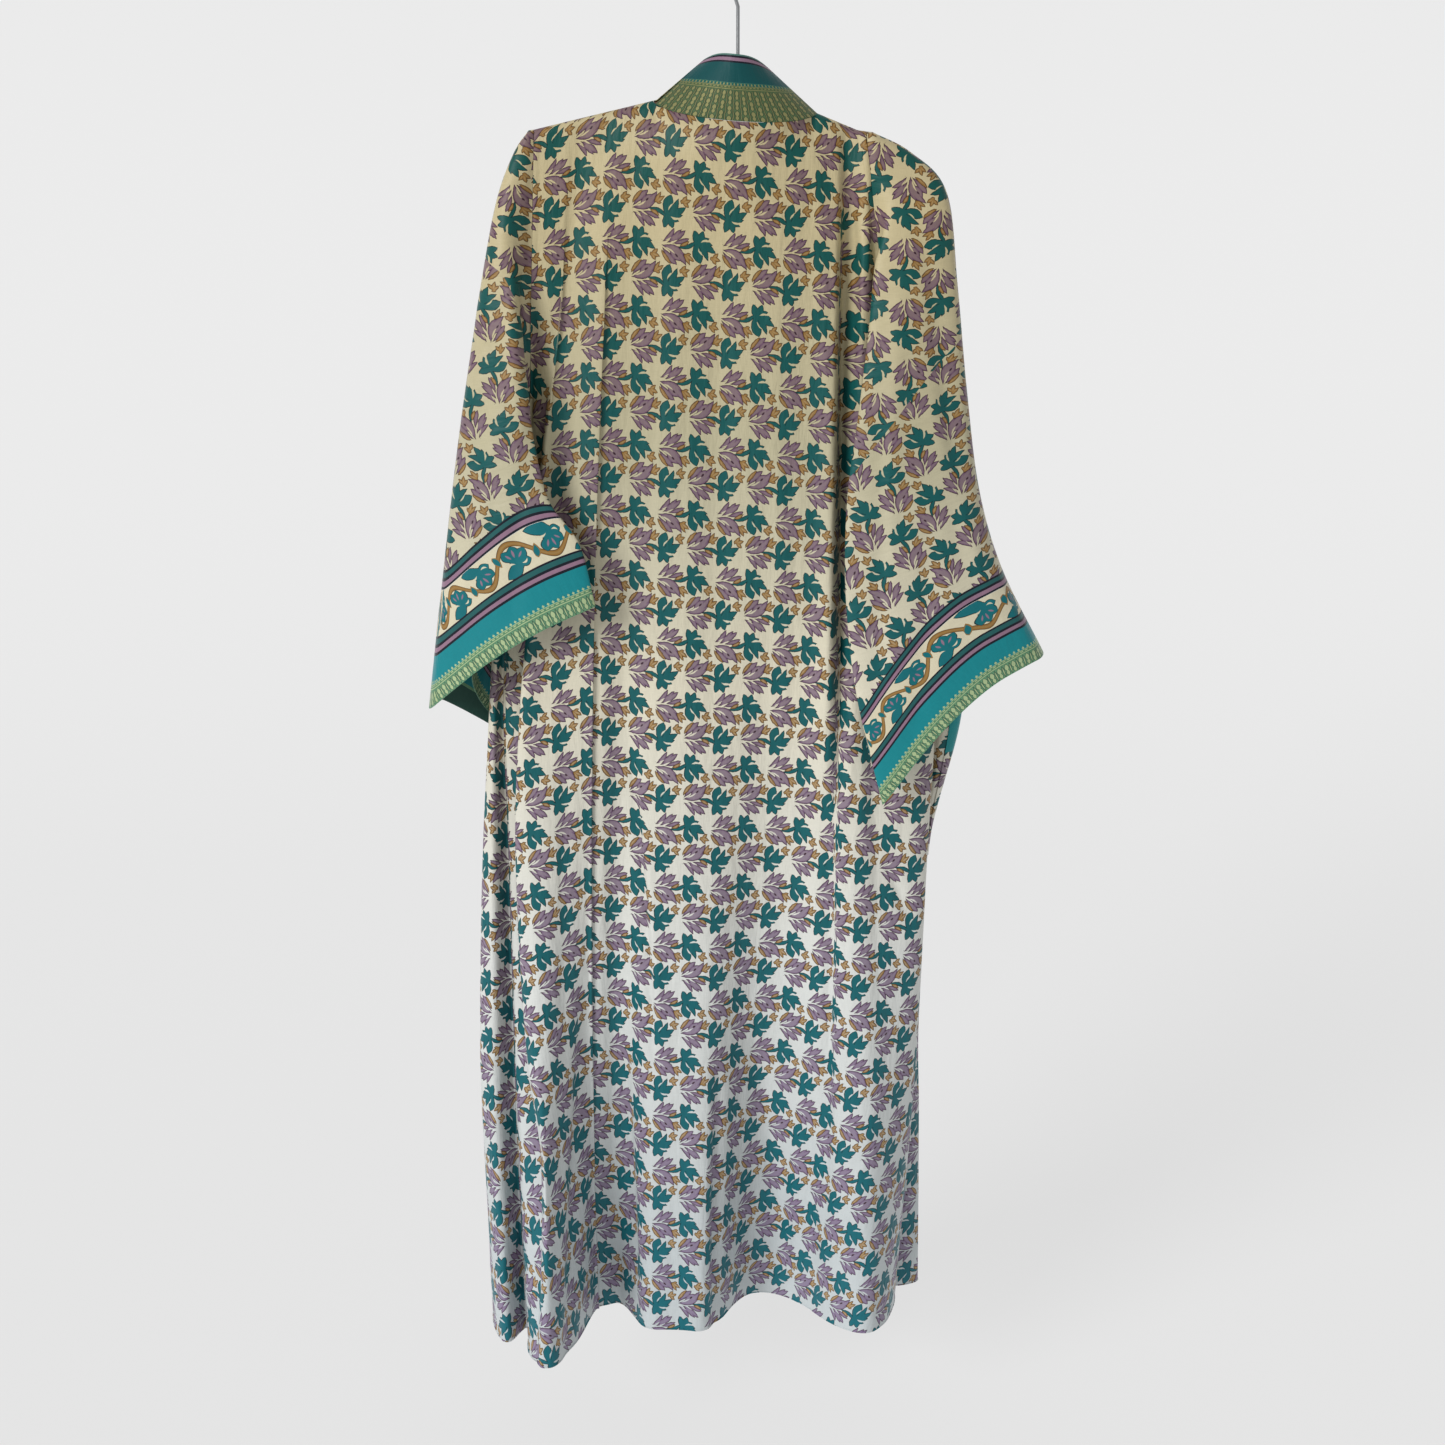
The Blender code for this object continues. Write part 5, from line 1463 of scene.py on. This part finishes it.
@lru_cache
def border_silk(name):
    """Border at the wrist: gold-woven edge, plain teal, stripes, vine and stripes."""
    made, kit = new_surface(name)
    place = cloth_place(kit)
    along, depth, _ = kit.split(place)
    colour, metal = zari(kit, kit.bands(depth, CUFF_BANDS), along, depth, CUFF_BANDS[0].width)
    in_vine = kit.between(depth, VINE_START, VINE_START + VINE_WIDTH, 0.1)
    from_middle = kit.math("SUBTRACT", depth, VINE_START + VINE_WIDTH / 2)
    colour = kit.mix(in_vine, colour, vine(kit, along, from_middle))
    silk_finish(kit, colour, place, roughness=0.42, metal=metal)
    return made


@lru_cache
def lining_side(name):
    """Inside of the sleeve's border: dull green up to the woven edge's pale line, then teal."""
    made, kit = new_surface(name)
    place = cloth_place(kit)
    colour = kit.bands(kit.split(place)[1], CUFF_INSIDE)
    colour = kit.mix(INSIDE_DULL, colour, bpy.context.scene.robe_colours.inside_green)
    silk_finish(kit, colour, place, roughness=0.55, sheen=0.05)
    return made


@lru_cache
def band_silk(name):
    """Neckband: gold-woven edge by the seam, plain teal, and narrow stripes at the free edge."""
    made, kit = new_surface(name)
    place = cloth_place(kit)
    along, depth, _ = kit.split(place)
    colour = kit.bands(depth, NECKBAND_BANDS)
    colour, metal = zari(kit, colour, along, depth, NECKBAND_BANDS[0].width, BAND_ZARI_TIERS, BAND_ZARI_TINT)
    silk_finish(kit, colour, place, roughness=0.45, metal=metal, crimp=0.15, sheen=0.05)
    return made


def uneven(kit, noise, tone, dark, pale):
    """A colour that wavers between a darker and a paler shade of itself."""
    colour = Vector(getattr(bpy.context.scene.robe_colours, tone))
    return kit.mix(noise, tuple(colour * dark), tuple(colour * pale))


@lru_cache
def pocket_silk(name):
    """Mouth of a pocket: plain teal."""
    made, kit = new_surface(name)
    place = cloth_place(kit)
    colour = uneven(kit, kit.noise(place, (0.03, 0.03, 0), 2.0, 0.5), "pocket_teal", 0.85, 1.12)
    silk_finish(kit, colour, place, roughness=0.42)
    return made


@lru_cache
def bar_wood(name):
    """Stained wood of the bar, its grain along the bar."""
    made, kit = new_surface(name)
    grain = kit.noise(kit.add("TexCoord").outputs["Object"], (30, 900, 900), 4.0, 0.6)
    kit.paint({
        "Base Color": uneven(kit, grain, "wood", 0.55, 1.35),
        "Roughness": kit.math("MULTIPLY_ADD", grain, 0.2, 0.32),
        "Normal": kit.bump(grain, 0.3, 0.0003),
        "Coat Weight": 0.2,
    })
    return made


@lru_cache
def hook_steel(name):
    """Drawn steel wire of the hook, with fine marks along it."""
    made, kit = new_surface(name)
    marks = kit.noise(kit.add("TexCoord").outputs["Object"], (2500, 2500, 260), 3.0, 0.6)
    kit.paint({
        "Base Color": uneven(kit, marks, "steel", 0.8, 1.1),
        "Roughness": kit.math("MULTIPLY_ADD", marks, 0.25, 0.18),
        "Metallic": 1.0,
    })
    return made


def tone(name, purpose, colour):
    """Property for one colour, given in screen values."""
    return FloatVectorProperty(name=name, description=purpose, default=shade(*colour), subtype="COLOR",
                               size=3, min=0.0, max=1.0)


class RobeSizes(PropertyGroup):
    """Sizes of the cloth and its print."""

    wall: FloatProperty(name="Silk", description="Thickness of the silk as shown", default=0.0006,
                        unit="LENGTH")
    repeat: FloatProperty(name="Repeat", description="Width of one spray of the print", default=0.0592,
                          unit="LENGTH")
    row: FloatProperty(name="Row", description="Height of one row of the print", default=0.033, unit="LENGTH")
    creases: FloatProperty(name="Creases", description="Depth of the creases, 1 as worn", default=1.0)


class RobeColours(PropertyGroup):
    """Colours of the silk, its print and borders, and the hanger."""

    # The ground tones are the silk's cream with painted shade: darker at the shoulders, at the back and at
    # the hem.
    ground_top_shaded: tone("Ground at the shoulders", "Silk ground at the shoulders", (198, 184, 144))
    ground_back_shaded: tone("Ground at the back", "Silk ground between shoulders and waist", (189, 182, 151))
    ground_middle: tone("Ground at the waist", "Silk ground at the waist", (219, 213, 192))
    ground_low: tone("Ground below the waist", "Silk ground at its palest", (216, 218, 214))
    ground_hem_shaded: tone("Ground at the hem", "Silk ground at the hem", (194, 201, 203))
    # The deep tones are the print's colours with painted shade, shown towards the shoulders; deep ochre is
    # also the vine's own colour.
    teal: tone("Teal", "Leaves of the print near the hem", (18, 102, 114))
    teal_deep: tone("Deep teal", "Leaves of the print near the shoulders", (10, 80, 72))
    teal_line: tone("Teal outline", "Outline of the leaves", (4, 36, 38))
    lilac: tone("Lilac", "Petals of the print near the hem", (124, 104, 136))
    lilac_deep: tone("Deep lilac", "Petals of the print near the shoulders", (108, 78, 94))
    plum_line: tone("Plum outline", "Outline of the petals", (56, 30, 44))
    ochre: tone("Ochre", "Small leaves and stars near the hem", (160, 128, 80))
    ochre_deep: tone("Deep ochre", "Small leaves and stars near the shoulders", (146, 108, 52))
    brown_line: tone("Brown outline", "Outline of the ochre leaves", (80, 54, 28))
    cuff_teal: tone("Cuff teal", "Plain part of the border at the wrist", (14, 132, 140))
    flower_teal: tone("Flower teal", "Flowers and buds of the vine", (10, 108, 116))
    cuff_ground: tone("Cuff cream", "Ground of the vine", (216, 208, 180))
    band_teal: tone("Band teal", "Plain part of the neckband", (6, 76, 78))
    band_edge: tone("Band edge", "Thin line at the free edge of the neckband", (84, 124, 114))
    pocket_teal: tone("Pocket teal", "Mouth of the pockets", (14, 138, 142))
    stripe_black: tone("Black stripe", "Narrow dark stripes", (16, 20, 34))
    stripe_teal: tone("Grey-teal stripe", "Stripe beside the vine", (34, 92, 92))
    stripe_lilac: tone("Lilac stripe", "Pale stripe beside the vine", (146, 114, 134))
    zari: tone("Woven edge", "Threads of the woven edge", (112, 156, 118))
    zari_ground: tone("Woven edge ground", "Green ground of the woven edge", (78, 126, 96))
    zari_line: tone("Woven edge lines", "Dark lines round the medallions", (52, 88, 70))
    zari_light: tone("Gold thread", "Raised gold thread", (180, 200, 152))
    inside_green: tone("Inside green", "Inside of the woven edge", (44, 82, 72))
    wood: tone("Bar", "Stained wood of the hanger", (96, 66, 44))
    steel: tone("Hook", "Steel of the hook", (176, 178, 180))


def print_surfaces():
    """The print's right side and its reverse."""
    return [printed_silk("print_cloth"), printed_silk("print_cloth_reverse", reverse=True)]


class ROBE_OT_back(Operator):
    """Back panel from the shoulder to the hem, with its long folds and creases"""

    bl_idname = "robe.back"
    bl_label = "Back"

    def execute(self, context):
        form, places = back_form()
        sewn("back_silk", form, places, (0, -1, 0), print_surfaces(), "back")
        return {"FINISHED"}


class ROBE_OT_fronts(Operator):
    """Two front panels, open down the centre"""

    bl_idname = "robe.fronts"
    bl_label = "Fronts"

    def execute(self, context):
        for side, word in SIDES:
            form, places = front_form(side)
            sewn("front_silk_" + word, form, places, (0, 1, 0), print_surfaces(),
                 "front_" + word)
        return {"FINISHED"}


class ROBE_OT_sleeves(Operator):
    """Wide sleeves with the border at the wrist"""

    bl_idname = "robe.sleeves"
    bl_label = "Sleeves"

    def execute(self, context):
        surfaces = print_surfaces() + [border_silk("wrist_border"), lining_side("wrist_border_inside")]
        for side, word in SIDES:
            form, near, far, border_places = sleeve_form(side)
            top = form.shape[1] // 2
            first, second = (near, far) if form[:, :top, 1].mean() < form[:, top:, 1].mean() else (far, near)
            turn_row = round(SLEEVE_BODY_ROWS * TURN_SHARE[side])

            def choose(row, column):
                if row >= SLEEVE_BODY_ROWS:
                    return 2, border_places
                shown = first if column < top else second
                return 0, -shown if row < turn_row else shown

            sewn("sleeve_silk_" + word, form, near, None, surfaces, "sleeve_" + word,
                 closed=True, choose=choose)
        return {"FINISHED"}


class ROBE_OT_neckband(Operator):
    """Neckband round the back neck and down both fronts"""

    bl_idname = "robe.neckband"
    bl_label = "Neckband"

    def execute(self, context):
        surfaces = [band_silk("neckband_cloth")]
        form = back_band()
        sewn("band_silk_back", form, bands_of(form), (0, -1, 0), surfaces, "neckband_back",
             flat=(float(run(form, 0)[-1].mean()), BAND_WIDTH))
        for side, word in SIDES:
            form = front_band(side)
            sewn("band_silk_" + word, form, bands_of(form), (0, 1, 0), surfaces,
                 "neckband_" + word)
        return {"FINISHED"}


class ROBE_OT_pockets(Operator):
    """Patch pockets with a teal mouth, one on each front"""

    bl_idname = "robe.pockets"
    bl_label = "Pockets"

    def execute(self, context):
        surfaces = print_surfaces() + [pocket_silk("pocket_mouth")] * 2
        mouth = round(POCKET_MOUTH / ROW_PITCH)
        for side, word in SIDES:
            form, places = front_form(side)
            low, high = (round(share * (form.shape[1] - 1)) for share in POCKET_SHARES[side])
            first, last = (int(np.argmax(form[:, -1, 2] <= level)) for level in (POCKET_TOP, POCKET_BOTTOM))
            patch = slice(first, last + 1), slice(low, high + 1)
            form, places = (form + outwards(form, (0, 1, 0)) * POCKET_LIFT)[patch], places[patch]
            sewn("pocket_silk_" + word, form, places, (0, 1, 0), surfaces, "pocket_" + word,
                 choose=lambda row, column: (2 * (row < mouth), places))
        return {"FINISHED"}


class ROBE_OT_hems(Operator):
    """Narrow rolled hems of the back and the fronts"""

    bl_idname = "robe.hems"
    bl_label = "Hems"

    def execute(self, context):
        for name, (form, places) in (("hem_back", back_form()), ("hem_left", front_form(-1)),
                                     ("hem_right", front_form(1))):
            rolled_hem(name, form[-1], places[-1], print_surfaces()[0])
        return {"FINISHED"}


class ROBE_OT_hanger(Operator):
    """Bar under the shoulders, and its wire hook"""

    bl_idname = "robe.hanger"
    bl_label = "Hanger"

    def execute(self, context):
        bar = bar_line()
        top = max(p.z for p in bar) + BAR_RADIUS
        wood, steel = bar_wood("stained_bar"), hook_steel("drawn_wire")
        rod("bar", smooth_line(bar), BAR_RADIUS, BAR_SIDES, wood, "hanger")
        rod("hook", hook_line(top), WIRE_RADIUS, HOOK_SIDES, steel, "hanger_hook")
        return {"FINISHED"}


class ROBE_OT_stage(Operator):
    """Pale floor and backdrop, soft light and the camera"""

    bl_idname = "robe.stage"
    bl_label = "Stage"

    def execute(self, context):
        bm = bmesh.new()
        bmesh.ops.create_grid(bm, x_segments=8, y_segments=48, size=1.0)
        for vertex in bm.verts:
            x, t = vertex.co.x * FLOOR_HALF_WIDTH, (vertex.co.y + 1) / 2 * FLOOR_RUN
            turn = min(max(t - FLOOR_FLAT, 0), FLOOR_BEND) * math.pi / (2 * FLOOR_BEND)
            y = min(t, FLOOR_FLAT) + BEND_RADIUS * math.sin(turn)
            z = BEND_RADIUS * (1 - math.cos(turn)) + max(t - FLOOR_FLAT - FLOOR_BEND, 0)
            vertex.co = (x, y - FLOOR_FRONT, z + FLOOR_LEVEL)
        mesh = bpy.data.meshes.new("studio_floor")
        bm.to_mesh(mesh)
        bm.free()
        mesh.shade_smooth()
        floor = placed("studio_floor", mesh)
        paint, kit = new_surface("studio_paint")
        kit.paint({
            "Base Color": (*FLOOR_GREY, 1.0),
            "Roughness": 1.0,
            "Specular IOR Level": 0.0,
            "Emission Color": (1.0, 1.0, 1.0, 1.0),
            "Emission Strength": FLOOR_GLOW,
        })
        mesh.materials.append(paint)
        light = bpy.data.lights.new("window", "SUN")
        light.energy = WINDOW_STRENGTH
        light.angle = WINDOW_SIZE
        placed("window", light).rotation_euler = Vector(WINDOW_AIM).to_track_quat("-Z", "Y").to_euler()
        world = bpy.data.worlds.new("studio")
        context.scene.world = world
        world.use_nodes = True
        sky = world.node_tree.nodes["Background"]
        sky.inputs["Color"].default_value = (1.0, 1.0, 1.0, 1.0)
        sky.inputs["Strength"].default_value = ROOM_LIGHT
        lens = bpy.data.cameras.new("camera")
        lens.lens = CAMERA_LENS
        lens.sensor_width = SENSOR
        camera = placed("camera", lens)
        camera.location = CAMERA_PLACE
        camera.rotation_euler = (math.pi / 2 - CAMERA_PITCH, 0, 0)
        context.scene.camera = camera
        context.scene.view_settings.view_transform = "Standard"
        return {"FINISHED"}


class ROBE_PT_sewing(Panel):
    """Buttons for the pieces, in sewing order, with sizes and colours"""

    bl_idname = "ROBE_PT_sewing"
    bl_label = "Robe"
    bl_space_type = "VIEW_3D"
    bl_region_type = "UI"
    bl_category = "Robe"

    def draw(self, context):
        for group in (context.scene.robe_sizes, context.scene.robe_colours):
            box = self.layout.box()
            for name in group.__annotations__:
                box.prop(group, name)
        for operator in PIECES:
            self.layout.operator(operator.bl_idname)


PIECES = (ROBE_OT_hanger, ROBE_OT_back, ROBE_OT_fronts, ROBE_OT_sleeves, ROBE_OT_neckband, ROBE_OT_pockets,
          ROBE_OT_hems, ROBE_OT_stage)
CLASSES = (RobeSizes, RobeColours) + PIECES + (ROBE_PT_sewing,)


def register():
    for made in CLASSES:
        bpy.utils.register_class(made)
    bpy.types.Scene.robe_sizes = PointerProperty(type=RobeSizes)
    bpy.types.Scene.robe_colours = PointerProperty(type=RobeColours)


def unregister():
    del bpy.types.Scene.robe_colours
    del bpy.types.Scene.robe_sizes
    for made in reversed(CLASSES):
        bpy.utils.unregister_class(made)


def main():
    register()
    for operator in PIECES:
        group, name = operator.bl_idname.split(".")
        getattr(getattr(bpy.ops, group), name)()


if __name__ == "__main__":
    main()
